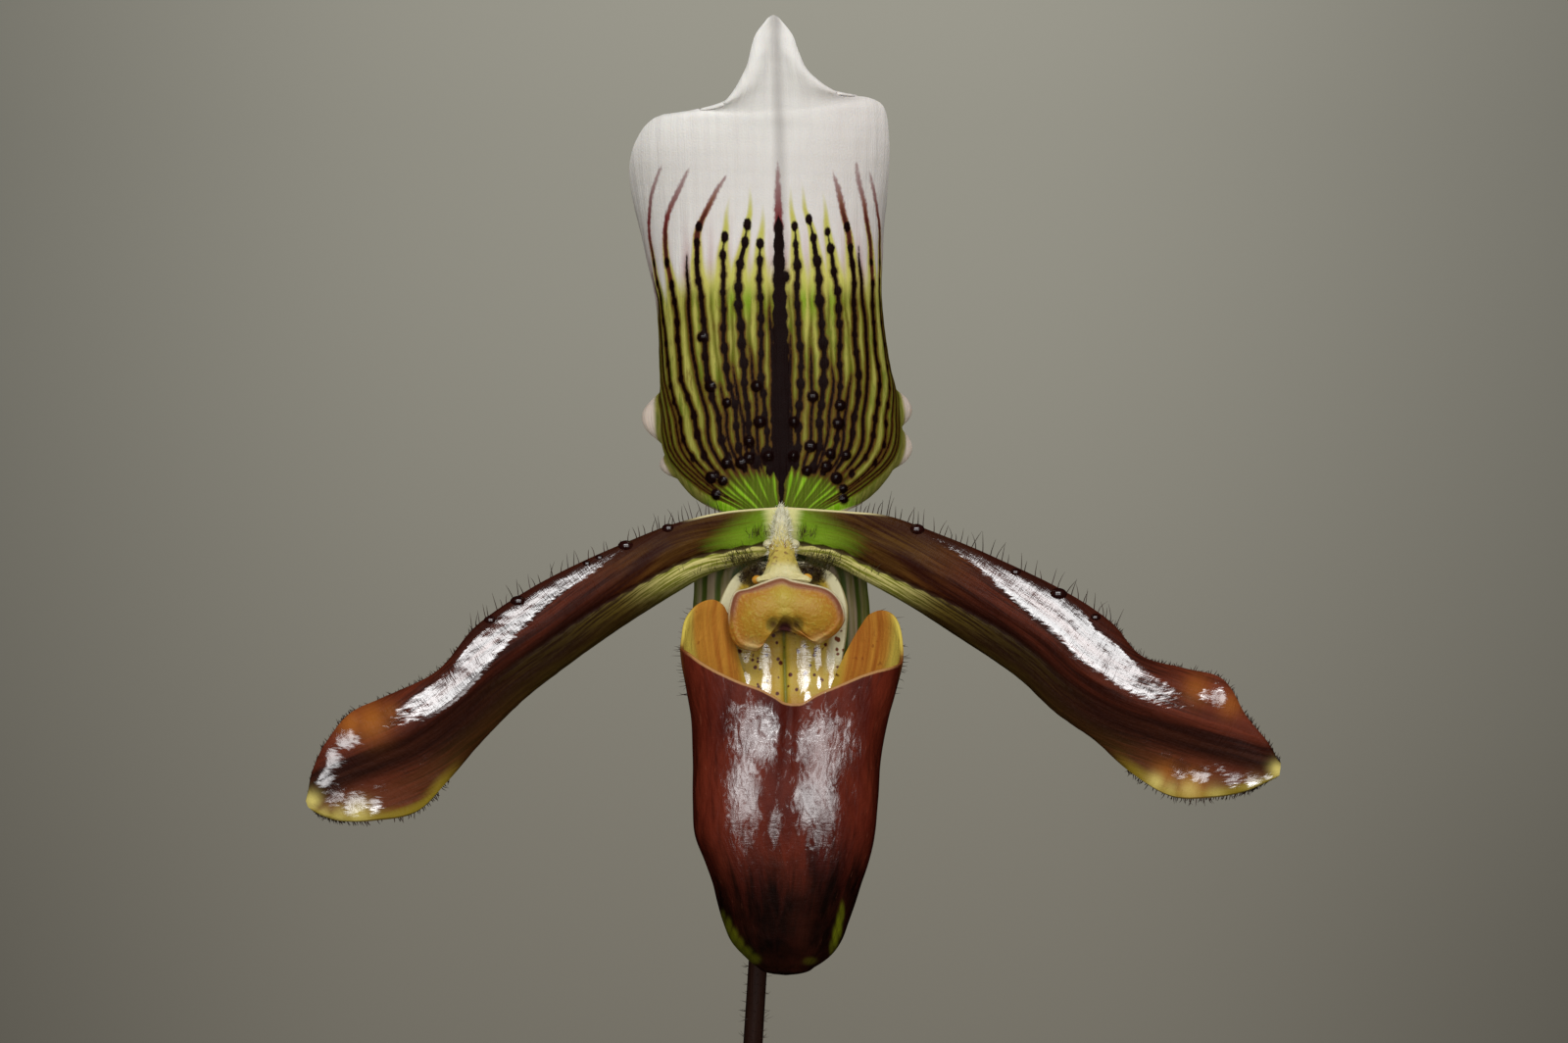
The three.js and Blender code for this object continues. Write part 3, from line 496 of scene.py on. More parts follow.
def chip_skin(detail):
    """A cube's skin, each side a grid of detail squares, pulled towards a ball at its corners."""
    t = np.linspace(-1, 1, detail + 1)
    u, v = np.meshgrid(t, t)
    one = np.ones_like(u)
    sides = [(one, u, v), (-one, v, u), (v, one, u), (u, -one, v), (u, v, one), (v, u, -one)]
    points = np.concatenate([np.stack(side, axis=-1).reshape(-1, 3) for side in sides])
    faces = []
    for k in range(6):
        faces += (np.array(grid_faces(detail + 1, detail + 1)) + k * (detail + 1) ** 2).tolist()
    merged, index = np.unique(np.round(points, 6), axis=0, return_inverse=True)
    round_share = 0.16
    ball = unit(merged) * 1.35
    return merged * (1 - round_share) + ball * round_share, index.ravel()[np.array(faces)]


CHIP_CORNERS = np.array(
    [(1, 1, 1), (1, 1, -1), (1, -1, 1), (1, -1, -1), (-1, 1, -1), (-1, 1, 1), (-1, -1, -1), (-1, -1, 1)]
)


def bark_chips():
    """Every chip is the same skin, sheared by its eight corner factors, roughened, turned and placed."""
    draw = seeded_random(11)
    rough = np.random.default_rng(5)
    skin, skin_faces = chip_skin(9)
    points, faces, shades = [], [], []
    for ring in range(1, 5):
        radius = ring * 10.6
        count = int(2 * math.pi * radius / 12 + 0.5)
        for k in range(count):
            angle = (k + 0.6 * next(draw)) / count * 2 * math.pi
            height = BARK_LEVEL + 0.4 + 1.6 * next(draw)
            size = [11 + 6 * next(draw), 7.5 + 4 * next(draw), 5 + 3 * next(draw)]
            factors = np.array([[0.72 + 0.4 * next(draw) for _ in range(3)] for _ in CHIP_CORNERS])
            weight = np.clip((1 + skin[:, None, :] * CHIP_CORNERS[None]) / 2, 0, 1)
            factor = (np.prod(weight, axis=2)[..., None] * factors).sum(1)
            chip = skin * factor * np.array(size) / 2
            ripple = waves(chip[:, 0], chip[:, 2] * 3 + chip[:, 1], 6, 6.0, 1.2, int(rough.integers(1e9)))
            chip *= 1 + 0.035 * ripple[:, None]
            tilt = [(next(draw) - 0.5) * 0.9, (next(draw) - 0.5) * 0.9, next(draw) * 2 * math.pi]
            chip = chip @ rotation(*tilt).T + (radius * math.cos(angle), radius * math.sin(angle), height)
            reach = np.hypot(chip[:, 0], chip[:, 1])
            limit = inner_radius(chip[:, 2]) - 0.5
            chip[:, :2] *= np.minimum(1, limit / np.maximum(reach, 1e-6))[:, None]
            for centre, hole in ((MAIN_GROWTH, MAIN_HOLE_RADIUS), (YOUNG_GROWTH, YOUNG_HOLE_RADIUS)):
                away = chip[:, :2] - centre[:2]
                distance = np.linalg.norm(away, axis=1)
                push = np.maximum(hole + 0.2 - distance, 0) / np.maximum(distance, 1e-6)
                chip[:, :2] += away * push[:, None]
            chip[:, 2] = np.clip(chip[:, 2], BARK_LEVEL - 6, POT_HEIGHT - 4.2)
            faces.append(skin_faces + sum(len(p) for p in points))
            points.append(chip)
            shades.append(np.full(len(chip), rough.uniform(0, 1)))
    return np.concatenate(points), np.concatenate(faces).tolist(), np.concatenate(shades)


chip_points, chip_faces, chip_shades = bark_chips()
bark_finish = fir_bark()
chip_fields = {"shade": chip_shades}
build("bark_chips", chip_points, chip_faces, bark_finish, "bark_filling", "bark", chip_fields, crease=35)


def bark_bed():
    """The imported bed: a block that fills the pot from its wall to the main growth's hole, rough on top."""
    turn = around(200)
    share = np.concatenate([np.zeros(1), np.linspace(0, 1, 40)])
    top = BARK_LEVEL - 1.0
    outer = (inner_radius(top) - 0.5) * np.ones_like(turn)
    hole = MAIN_HOLE_RADIUS + 0.1
    circle = np.stack([np.cos(turn), np.sin(turn), 0 * turn], -1)
    around_hole = MAIN_GROWTH + hole * circle
    rows = [around_hole + (0, 0, BED_FLOOR + 0.5)]
    for s in share:
        row = around_hole * (1 - s) + outer[:, None] * circle * s
        row[:, 2] = top + 0.7 * waves(row[:, 0], row[:, 1], 8, 20, 3, 8)
        rows.append(row)
    rows.append((inner_radius(BED_FLOOR) - 0.5) * circle + (0, 0, BED_FLOOR))
    points = np.array(rows)
    fields = {"shade": np.full(points.shape[:2], 0.95)}
    build("bark_bed", points, capped(len(rows), len(turn)), bark_finish, "bark_filling", "bark", fields)


bark_bed()

# Stems: the main growth's short stem carries on as the flower stem, dark maroon and covered in short
# brown hairs; the young growth has a green stub hidden in its leaves.

HOLE_FLOOR = 70.0
GAP = 0.3
STEM_PATH = [
    MAIN_GROWTH + (0, 0, HOLE_FLOOR + GAP),
    MAIN_GROWTH + (0, 0, 96),
    MAIN_GROWTH + (-1.2, 1.2, 140),
    MAIN_GROWTH + (0.6, 2, 190),
    MAIN_GROWTH + (2.8, 2.4, 240),
    FLOWER + (-2.4, 23.5, -43),
]
STEM_RADII = [(0, 3.2), (0.06, 3.8), (0.14, 3.8), (0.26, 1.7), (0.6, 1.4), (1, 1.1)]


def tube_rings(path, radius, rows, sides):
    """Rings of points round a smooth path: radius(along, angle) is measured square to the path."""
    along = np.linspace(0, 1, rows)
    centre = smooth_curve(path, along)
    tangent = unit(np.gradient(centre, axis=0))
    side = unit(np.array([1.0, 0, 0]) - tangent * tangent[:, :1])
    other = np.cross(tangent, side)
    angle = around(sides)
    size = radius(along[:, None], angle[None, :]) * np.ones((rows, sides))
    spoke = np.cos(angle)[None, :, None] * side[:, None] + np.sin(angle)[None, :, None] * other[:, None]
    return centre[:, None] + spoke * size[..., None], spoke


def hairs(name, finish, cad_node, slot, roots, directions, lengths, radius, lean, seed):
    """Tapering three-sided hairs: each starts at its root, runs along its direction and bends to lean."""
    rng = np.random.default_rng(seed)
    directions = unit(directions)
    curl = np.array(lean) + rng.normal(0, 0.22, roots.shape)
    side = unit(np.cross(directions, rng.normal(0, 1, roots.shape)))
    other = np.cross(directions, side)
    rings, sides, stages = [], 3, [(0.0, 1.0), (0.4, 0.8), (0.75, 0.5), (1.0, 0.16)]
    for t, width in stages:
        middle = roots + directions * (lengths * t)[:, None] + curl * (lengths * t * t)[:, None]
        for k in range(sides):
            angle = 2 * np.pi * k / sides
            rings.append(middle + (side * math.cos(angle) + other * math.sin(angle)) * radius * width)
    points = np.stack(rings, axis=1)
    one = np.array(grid_faces(len(stages), sides, closed=True))
    count = len(stages) * sides
    offsets = (np.arange(len(roots)) * count)[:, None, None]
    faces = (one[None] + offsets).reshape(-1, 4).tolist()
    ends = np.array([[*range(sides - 1, -1, -1)], [*range(count - sides, count)]])
    faces += (ends[None] + offsets).reshape(-1, sides).tolist()
    build(name, points, faces, finish, cad_node, slot)


def stem_finish():
    """Dark maroon in fine upright fibres, turning green from 160 mm of height down to 100 mm."""
    finish, tree = material("maroon_stem", Roughness=0.6, Specular_IOR_Level=0.15)
    where = place(tree)
    fibres = noise(where, (1500, 1500, 90), 3.0)
    skin = blend(fibres, (24, 10, 6), (52, 26, 16))
    foot = blend(fibres, (84, 100, 48), (118, 128, 70))
    skin = blend(step(parts(where)[2], 0.16, 0.1), skin, foot)
    return dressed(finish, Base_Color=skin, Normal=bump(fibres, 0.0003, 0.6))


def two_tone(name, low, high, scale=400, detail=1.0, **constants):
    """A finish that wanders between two colours in clouds about 1 / scale metres across."""
    finish, tree = material(name, **constants)
    return dressed(finish, Base_Color=blend(noise(place(tree), scale, detail), low, high))


def stem_radius(along, angle):
    """The stem's radius from the table, with five faint ribs that wind along it."""
    table = np.array(STEM_RADII)
    return np.interp(along, table[:, 0], table[:, 1]) * (1 + 0.02 * np.cos(5 * angle + 9 * along))


stem_rings, stem_spokes = tube_rings(STEM_PATH, stem_radius, 220, 24)
build("flower_stem", stem_rings, capped(220, 24), stem_finish(), "flower_stem", "stem")

HAIR_SHEEN = dict(Roughness=0.5, Specular_IOR_Level=0.3)
STEM_HAIRS = 1600
rng = np.random.default_rng(21)
rows = rng.integers(60, 218, STEM_HAIRS)
columns = rng.integers(0, 24, STEM_HAIRS)
dark_hair = two_tone("dark_hair", (26, 14, 10), (62, 38, 26), **HAIR_SHEEN)
hairs(
    "flower_stem_hairs", dark_hair, "flower_stem", "stem",
    stem_rings[rows, columns] + rng.normal(0, 0.12, (STEM_HAIRS, 3)),
    stem_spokes[rows, columns] + rng.normal(0, 0.25, (STEM_HAIRS, 3)),
    rng.uniform(0.45, 1.0, STEM_HAIRS),
    0.035,
    (0, 0, 0.25),
    4,
)

# Leaves: thick straps in two ranks, clasping the stem and arching over; mottled dark and light green
# above, paler with a purple flush below, channelled along the midrib and edged with a pale line.

LEAF_THICKNESS = 1.3
CLASP_TOP = 106.0
CROWN_RADIUS = 3.8
YOUNG_CROWN_RADIUS = 2.2


def surface_normals(points):
    """Unit normals of a grid of points, from the cross product of its two directions."""
    return unit(np.cross(np.gradient(points, axis=1), np.gradient(points, axis=0)))


def flow_of(tree):
    """The mesh's own flat coordinates in millimetres: across and along the piece."""
    return Mark(node("ShaderNodeCombineXYZ", field(tree, "flow_u"), field(tree, "flow_v"), 0.0).outputs[0])


def cell_walls(coordinates, start, end):
    """Thin lines between irregular cells about 1 across: a soft step of the distance to the nearest wall."""
    cells = node("ShaderNodeTexVoronoi", coordinates, feature="DISTANCE_TO_EDGE")
    cells.inputs["Scale"].default_value = 1.0
    return step(Mark(cells.outputs["Distance"]), start, end)


def ease(value, start, end):
    """A smooth rise from 0 at start to 1 at end."""
    t = np.clip((value - start) / (end - start), 0, 1)
    return t * t * (3 - 2 * t)


def hump(distance, width):
    """A bell curve: e to the power of minus the square of distance over width."""
    return np.exp(-((distance / width) ** 2))


def leaf_middle(leaf, growth, sleeve, across, along):
    """The leaf's middle: a centre line that leans by its angle at each length, crossed by arcs that open
    from a half sleeve round the stem into a shallow channel with a slight fold."""
    length, parting = leaf["length"], CLASP_TOP - (HOLE_FLOOR + GAP)

    def angle_at(s):
        """The angle from upright at length s: the lean once past the sleeve, then on to the droop."""
        lean = leaf["lean"] * ease(s, parting - 4, parting + 50)
        return np.radians(lean + (leaf["droop"] - leaf["lean"]) * ease(s, parting + 30, length))

    steps = 600
    angle = angle_at((np.arange(steps) + 0.5) / steps * length)
    out = sleeve + np.concatenate([[0], np.cumsum(np.sin(angle))]) * length / steps
    height = HOLE_FLOOR + GAP + np.concatenate([[0], np.cumsum(np.cos(angle))]) * length / steps
    grid = np.linspace(0, 1, steps + 1)
    a, q = along[:, None], across[None, :]
    out, height, angle = np.interp(a, grid, out), np.interp(a, grid, height), angle_at(a * length)
    opened = ease(a * length, parting - 6, parting + 0.34 * length)
    tip = np.sqrt(np.maximum(1 - np.maximum((a - 0.6) / 0.4, 0) ** 2.2, 0.003))
    half = (leaf["clasp"] * (1 - opened) + leaf["width"] / 2 * opened) * tip
    open_bend = ease(opened, 0, 0.7)
    bend = leaf["clasp"] / sleeve * (1 - open_bend) + math.radians(24) * open_bend
    fold = 0.14 * opened * half * np.sqrt(q * q + 0.02)
    sideways = half / bend * np.sin(q * bend) + leaf["swing"] * a * a
    inward = half / bend * (1 - np.cos(q * bend)) + fold
    radial = out - np.cos(angle) * inward
    rise = height + np.sin(angle) * inward
    azimuth = math.radians(leaf["azimuth"])
    outward_x, outward_y = math.cos(azimuth), math.sin(azimuth)
    points = np.stack(
        [radial * outward_x - sideways * outward_y, radial * outward_y + sideways * outward_x, rise], axis=-1
    )
    return points + growth, half


def thin_body(front, back):
    """A closed thin body: each row is a ring that runs over the front grid and home over the back one."""
    ring = np.concatenate([front, back[:, ::-1]], axis=1)
    return ring, capped(ring.shape[0], ring.shape[1])


def both_sides(values, back_columns):
    """The same field read for the ring of front and back columns."""
    return np.concatenate([values, values[:, back_columns][:, ::-1]], axis=1)


def leaf_green():
    """Two greens in blotches with darker cell walls; a paler underside, maroon at its foot; then a pale
    margin and a pale sheath over both."""
    finish, tree = material("mottled_leaf", Specular_IOR_Level=0.45, Coat_Weight=0.15, Coat_Roughness=0.3)
    flow, v = flow_of(tree), field(tree, "flow_v")
    blotch = noise(flow, (0.32, 0.13, 1), 3.0, 0.55, 0.6)
    lines = cell_walls(stretched(flow, 0.45, 0.16, 1), 0.16, 0.02)
    fibres = noise(flow, (3.0, 0.12, 1), 2.0)
    green = blend(step(blotch, 0.42, 0.6), (58, 86, 40), (108, 132, 78))
    green = blend(lines * 0.6, green, (44, 70, 32))
    green = blend(fibres * 0.25, green, (80, 108, 50))
    under = blend(fibres, (104, 124, 78), (126, 140, 92))
    flush = step(v, 60.0, 5.0)
    under = blend(flush * 0.75, under, (92, 56, 62))
    skin = blend(field(tree, "side"), green, under)
    pale = blend(step(field(tree, "edge"), 0.6, 0.2), skin, (112, 128, 84))
    sheath = blend(step(v, 34.0, 8.0), pale, (150, 158, 104))
    relief = fibres * 0.6 + blotch * 0.8
    return dressed(
        finish,
        Base_Color=sheath,
        Roughness=ranged(blotch, 0.3, 0.7, 0.34, 0.5),
        Normal=bump(relief, 0.0004, 0.35),
    )


leaf_finish = leaf_green()


def make_leaf(name, leaf, growth, sleeve, thickness, rows, columns):
    """The middle surface, thickened both ways and thinned to a third at its margins."""
    across, along = np.linspace(-1, 1, columns + 1), np.linspace(0, 1, rows + 1)
    middle, half = leaf_middle(leaf, growth, sleeve, across, along)
    normal = surface_normals(middle)
    v = np.broadcast_to(along[:, None] * leaf["length"], middle.shape[:2])
    u = across[None, :] * half
    seed = len(name) * 7 + int(leaf["length"])
    ripple = waves(u, v * 0.6, 6, 26, 7, seed) * 0.28 * ease(v, 45, 80)
    rib = -0.5 * hump(u, 1.3) * ease(v, 30, 60)
    thick = thickness / 2 * (1 - 0.55 * np.abs(across[None, :]) ** 3)[..., None]
    inner_side = middle + normal * thick + normal * (ripple + rib)[..., None]
    outer_side = middle - normal * thick + normal * (ripple + rib * 1.5)[..., None]
    points, faces = thin_body(inner_side, outer_side)
    kept = np.arange(columns + 1)
    edge = half * (1 - np.abs(across[None, :]))
    upward = np.sign((normal[40, columns // 2] * (growth + (0, 0, 400) - middle[40, columns // 2])).sum())
    side = np.concatenate([np.full(u.shape, 0.0), np.full(u.shape, 1.0)], axis=1)
    side = side if upward > 0 else 1 - side
    fields = {"flow_u": u, "flow_v": v, "edge": edge}
    fields = {label: both_sides(values, kept) for label, values in fields.items()} | {"side": side}
    build(name, points, faces, leaf_finish, name, "leaf", fields, crease=50)


LEAF_SIZES = ("azimuth", "clasp", "length", "width", "lean", "droop", "swing")
MAIN_LEAVES = [
    (180, 12.5, 172, 37, 66, 112, 14), (0, 12.5, 178, 38, 64, 108, 12), (180, 11.5, 188, 36, 46, 92, -12),
    (0, 10.5, 180, 35, 46, 88, -14), (180, 8.6, 150, 30, 27, 60, 4), (0, 6.2, 128, 27, 20, 46, 4),
]
YOUNG_LEAVES = [(18, 6.4, 92, 20, 44, 86, 3), (162, 4.8, 86, 19, 42, 88, -3), (18, 3.4, 66, 13, 20, 40, 1)]
# Each growth: the leaves' names, their sizes, the place, the innermost sleeve's radius, the step between
# sleeves, the thickness, and the grid's rows and columns.
for prefix, leaves, growth, inmost, sleeve_step, thickness, rows, columns in (
    ("leaf", MAIN_LEAVES, MAIN_GROWTH, CROWN_RADIUS + 1.15, 1.8, LEAF_THICKNESS, 110, 30),
    ("young_leaf", YOUNG_LEAVES, YOUNG_GROWTH, YOUNG_CROWN_RADIUS + 1, 1.4, 1.0, 80, 24),
):
    for k, sizes in enumerate(leaves):
        sleeve = inmost + (len(leaves) - 1 - k) * sleeve_step
        leaf = dict(zip(LEAF_SIZES, sizes))
        make_leaf(f"{prefix}_{k + 1}", leaf, growth, sleeve, thickness, rows, columns)

young_rings, _ = tube_rings(
    [YOUNG_GROWTH + (0, 0, z) for z in (HOLE_FLOOR + GAP, 79, 88, 97)],
    lambda along, angle: YOUNG_CROWN_RADIUS + (1.2 - YOUNG_CROWN_RADIUS) * ease(along, 0.6, 1),
    30,
    24,
)
young_constants = {"flow_u": 0.0, "flow_v": 0.0, "edge": 9.0, "side": 1.0}
young_fields = {label: np.full(young_rings.shape[:2], value) for label, value in young_constants.items()}
build("young_stem", young_rings, capped(30, 24), leaf_finish, "young_stem", "leaf", young_fields)

# Ovary and bract: the ovary is the flower's own stalk, ribbed and hairy, bent forward into the knob
# that carries the flower; the bract is a pale green sheath folded round its foot.

KNOB = FLOWER + (0, 4.2, 0.6)
OVARY_PATH = [
    FLOWER + (-2.3, 23.3, -42.7),
    FLOWER + (-2.0, 23.0, -30),
    FLOWER + (-1.4, 21.0, -16),
    FLOWER + (-0.7, 15.5, -5),
    FLOWER + (-0.2, 9.0, 0.2),
    KNOB - (0, 2.4, 0),
]
OVARY_RADII = [(0, 1.15), (0.1, 1.5), (0.45, 2.3), (0.8, 2.1), (0.93, 2.3), (1, 1.9)]


def effect(name, inputs, outputs, fill):
    """A shader node group, whose sockets are (name, type) pairs; fill wires it and returns its results."""
    tree = bpy.data.node_groups.new(name, "ShaderNodeTree")
    for label, kind in inputs:
        tree.interface.new_socket(label, in_out="INPUT", socket_type=kind)
    for label, kind in outputs:
        tree.interface.new_socket(label, in_out="OUTPUT", socket_type=kind)
    source, sink = tree.nodes.new("NodeGroupInput"), tree.nodes.new("NodeGroupOutput")
    for socket, result in zip(sink.inputs, fill(*map(Mark, source.outputs[: len(inputs)]))):
        tree.links.new(result.socket, socket)
    return tree


def use(group, *values):
    """The outputs of a group placed in its values' tree."""
    tree = values[0].socket.id_data
    made = tree.nodes.new("ShaderNodeGroup")
    made.node_tree = group
    for socket, value in zip(made.inputs, values):
        tree.links.new(value.socket, socket)
    return [Mark(socket) for socket in made.outputs]


def smooth_table(positions, values, at):
    """A smooth curve through values at uneven positions, with each slope the mean of its two sides'."""
    x, y, at = np.asarray(positions, float), np.asarray(values, float), np.asarray(at, float)
    chord = np.diff(y) / np.diff(x)
    slope = np.concatenate([chord[:1], (chord[1:] + chord[:-1]) / 2, chord[-1:]])
    slope[1:-1][chord[1:] * chord[:-1] < 0] = 0
    k = np.clip(np.searchsorted(x, at) - 1, 0, len(x) - 2)
    width = x[k + 1] - x[k]
    f = np.clip((at - x[k]) / width, 0, 1)
    return hermite(y[k], y[k + 1], slope[k] * width, slope[k + 1] * width, f)


def make_streaks(flow):
    """Broad and fine streaks that run along the flow's second axis."""
    broad = noise(flow, (0.9, 0.045, 1), 4.0, 0.6, 0.3)
    fine = noise(flow, (4.5, 0.16, 1), 3.0, 0.6)
    return broad, fine


def make_crepe(flow):
    """Crossed fine wrinkles and small blisters, like crepe paper."""
    wrinkle = noise(stretched(flow, 0.55, 2.3, 1, (0, 0, 0.9)), 1.0, 3.0, 0.55, 1.2)
    blister = noise(flow, (1.6, 0.9, 1), 4.0, 0.6, 0.6)
    return [wrinkle + blister * 0.8]


FLOW = [("Flow", "NodeSocketVector")]
streaks = effect("streaks", FLOW, [("Broad", "NodeSocketFloat"), ("Fine", "NodeSocketFloat")], make_streaks)
crepe = effect("crepe", FLOW, [("Height", "NodeSocketFloat")], make_crepe)


def ovary_finish():
    """Olive in fine streaks, with maroon in the valleys between the ribs."""
    finish, tree = material("ribbed_ovary", Roughness=0.5, Specular_IOR_Level=0.35)
    fine = use(streaks, flow_of(tree))[1]
    skin = blend(fine, (70, 62, 24), (116, 104, 48))
    skin = blend(field(tree, "valley"), skin, (62, 24, 14))
    return dressed(finish, Base_Color=skin, Normal=bump(fine, 0.0002, 0.5))


def ovary_radius(along, angle):
    """The ovary's radius from the table, with six ribs."""
    table = np.array(OVARY_RADII)
    return smooth_table(table[:, 0], table[:, 1], along) * (1 + 0.07 * np.cos(6 * angle))


OVARY_SIDES = 60
ovary_rings, ovary_spokes = tube_rings(OVARY_PATH, ovary_radius, 120, OVARY_SIDES)
ovary_turn = around(OVARY_SIDES)[None, :] * np.ones((120, 1))
ovary_fields = {
    "flow_u": ovary_turn * 2.2,
    "flow_v": np.linspace(0, 50, 120)[:, None] * np.ones((1, OVARY_SIDES)),
    "valley": 0.5 - 0.5 * np.cos(6 * ovary_turn),
}
build("ovary", ovary_rings, capped(120, OVARY_SIDES), ovary_finish(), "ovary", "ovary", ovary_fields)

OVARY_HAIRS = 900
rng = np.random.default_rng(31)
rows, columns = rng.integers(4, 112, OVARY_HAIRS), rng.integers(0, OVARY_SIDES, OVARY_HAIRS)
hairs(
    "ovary_hairs", dark_hair, "ovary", "ovary",
    ovary_rings[rows, columns],
    ovary_spokes[rows, columns] + rng.normal(0, 0.3, (OVARY_HAIRS, 3)),
    rng.uniform(0.4, 0.9, OVARY_HAIRS),
    0.03,
    (0, 0, 0.2),
    6,
)


def bract_finish():
    """Green in fine streaks, with maroon spots where a noise is high."""
    finish, tree = material("floral_bract", Roughness=0.5, Specular_IOR_Level=0.35)
    flow = flow_of(tree)
    fine = use(streaks, flow)[1]
    spots = step(noise(flow, (1.1, 0.8, 1), 2.0), 0.6, 0.68)
    skin = blend(fine, (92, 104, 40), (140, 146, 74))
    skin = blend(spots * 0.7, skin, (78, 34, 30))
    return dressed(finish, Base_Color=skin, Normal=bump(fine, 0.0002, 0.5))


def thin_piece(
    name, finish, cad_node, slot, thickness, middle, fields, relief=0.0, faces_front=True, taper=14
):
    """A closed sheet round its middle surface: a fine front with relief and a coarser, plain back.

    Each row of the mesh is a ring, over the front and home over the back; the end rows are closed by
    small faces between front and back. Thickness fades by 0.6 s^taper, with s from 0 to 1 at both margins.
    """
    rows, columns = middle.shape[:2]
    back_step = 3
    normal = surface_normals(middle)
    if (normal[:, columns // 2, 1].sum() > 0) == faces_front:
        normal = -normal
    margin = 1 - 0.6 * np.abs(np.linspace(-1, 1, columns)) ** taper
    half = (thickness / 2 * margin)[None, :, None]
    front = middle + normal * (half + (relief * np.ones((rows, columns)))[..., None])
    kept = np.arange(0, columns, back_step)
    back = (middle - normal * half)[:, kept]
    ring = np.concatenate([front, back[:, ::-1]], axis=1)
    sides = ring.shape[1]
    faces = grid_faces(rows, sides, closed=True)
    for k in range(len(kept) - 1):
        first, second = sides - 1 - k, sides - 2 - k
        strip = [*range(k * back_step, (k + 1) * back_step + 1), second, first]
        faces.append(strip[::-1])
        faces.append([(rows - 1) * sides + corner for corner in strip])
    values = {label: both_sides(value * np.ones((rows, columns)), kept) for label, value in fields.items()}
    values["side"] = np.concatenate([np.zeros((rows, columns)), np.ones((rows, len(kept)))], axis=1)
    build(name, ring, faces, finish, cad_node, slot, values)
    return front, normal


BRACT_THICKNESS = 0.6


def make_bract():
    """The sheath's middle: short arcs round the ovary's curve that narrow from a full wrap to a point."""
    across, along = np.linspace(-1, 1, 61), np.linspace(0, 1, 80)
    centre = smooth_curve(OVARY_PATH, 0.02 + along * 0.4)
    spread = math.radians(150) + (math.radians(14) - math.radians(150)) * along[:, None] ** 2
    angle = np.pi / 2 + across[None, :] * spread
    radius = (2.15 + (3.6 - 2.15) * ease(along, 0, 0.6))[:, None]
    arc = np.stack([radius * np.cos(angle), radius * np.sin(angle), 0 * angle], axis=-1)
    fields = {"flow_u": across[None, :] * spread * radius, "flow_v": along[:, None] * 20}
    return centre[:, None] + arc, fields


thin_piece(
    "floral_bract", bract_finish(), "floral_bract", "bract", BRACT_THICKNESS, *make_bract(), faces_front=False
)

# Dorsal sepal: the upright sepal, waxy white above and yellow-green below, striped and beaded along
# its veins in blackish maroon; its sides roll back and its lower margins turn out in small lobes.

DORSAL_ROWS = [
    [[-5.8, 3.6, 25], [0, 2.7, 3.4], [6.2, 3.7, 25]],
    [[-10.2, 6.2, 100], [0, 2.7, 7], [10.4, 6.3, 100]],
    [[-13.3, 11, 150], [0, 2.8, 11.5], [13.5, 11, 150]],
    [[-13.8, 16.5, 150], [0, 3.0, 16.5], [13.4, 16.5, 150]],
    [[-13.9, 22.5, 150], [-0.1, 3.3, 22.5], [12.1, 22.5, 150]],
    [[-14.4, 29, 135], [-0.2, 3.4, 29], [11.4, 29, 135]],
    [[-15.9, 35.5, 100], [-0.3, 3.0, 36], [11.6, 35.5, 100]],
    [[-17.2, 41, 70], [-0.4, 2.0, 42], [12.1, 41, 70]],
    [[-17.2, 45.4, 52], [-0.5, 0.8, 47], [12.3, 46.2, 52]],
    [[-14.9, 49.1, 45], [-0.6, -0.15, 49.3], [11.8, 50.3, 45]],
    [[-10.6, 50.0, 38], [-0.7, -0.65, 50.6], [10.0, 51.6, 38]],
    [[-6.7, 50.7, 34], [-0.8, -2.4, 54.4], [6.1, 52.1, 34]],
    [[-4.1, 54.4, 34], [-0.9, -3.7, 57.2], [2.8, 54.6, 34]],
    [[-3.0, 58.2, 34], [-0.9, -4.6, 59.2], [1.2, 58.4, 34]],
    [[-1.7, 60.1, 20], [-0.9, -5.2, 60.4], [-0.1, 60.1, 20]],
]
# Lobes of the margin: side, height, half span, reach.
DORSAL_LOBES = [(-1, 15.1, 3.0, 4.2), (-1, 9.6, 1.3, 2.4), (1, 16.2, 2.2, 3.3), (1, 11.6, 2.3, 3.2)]
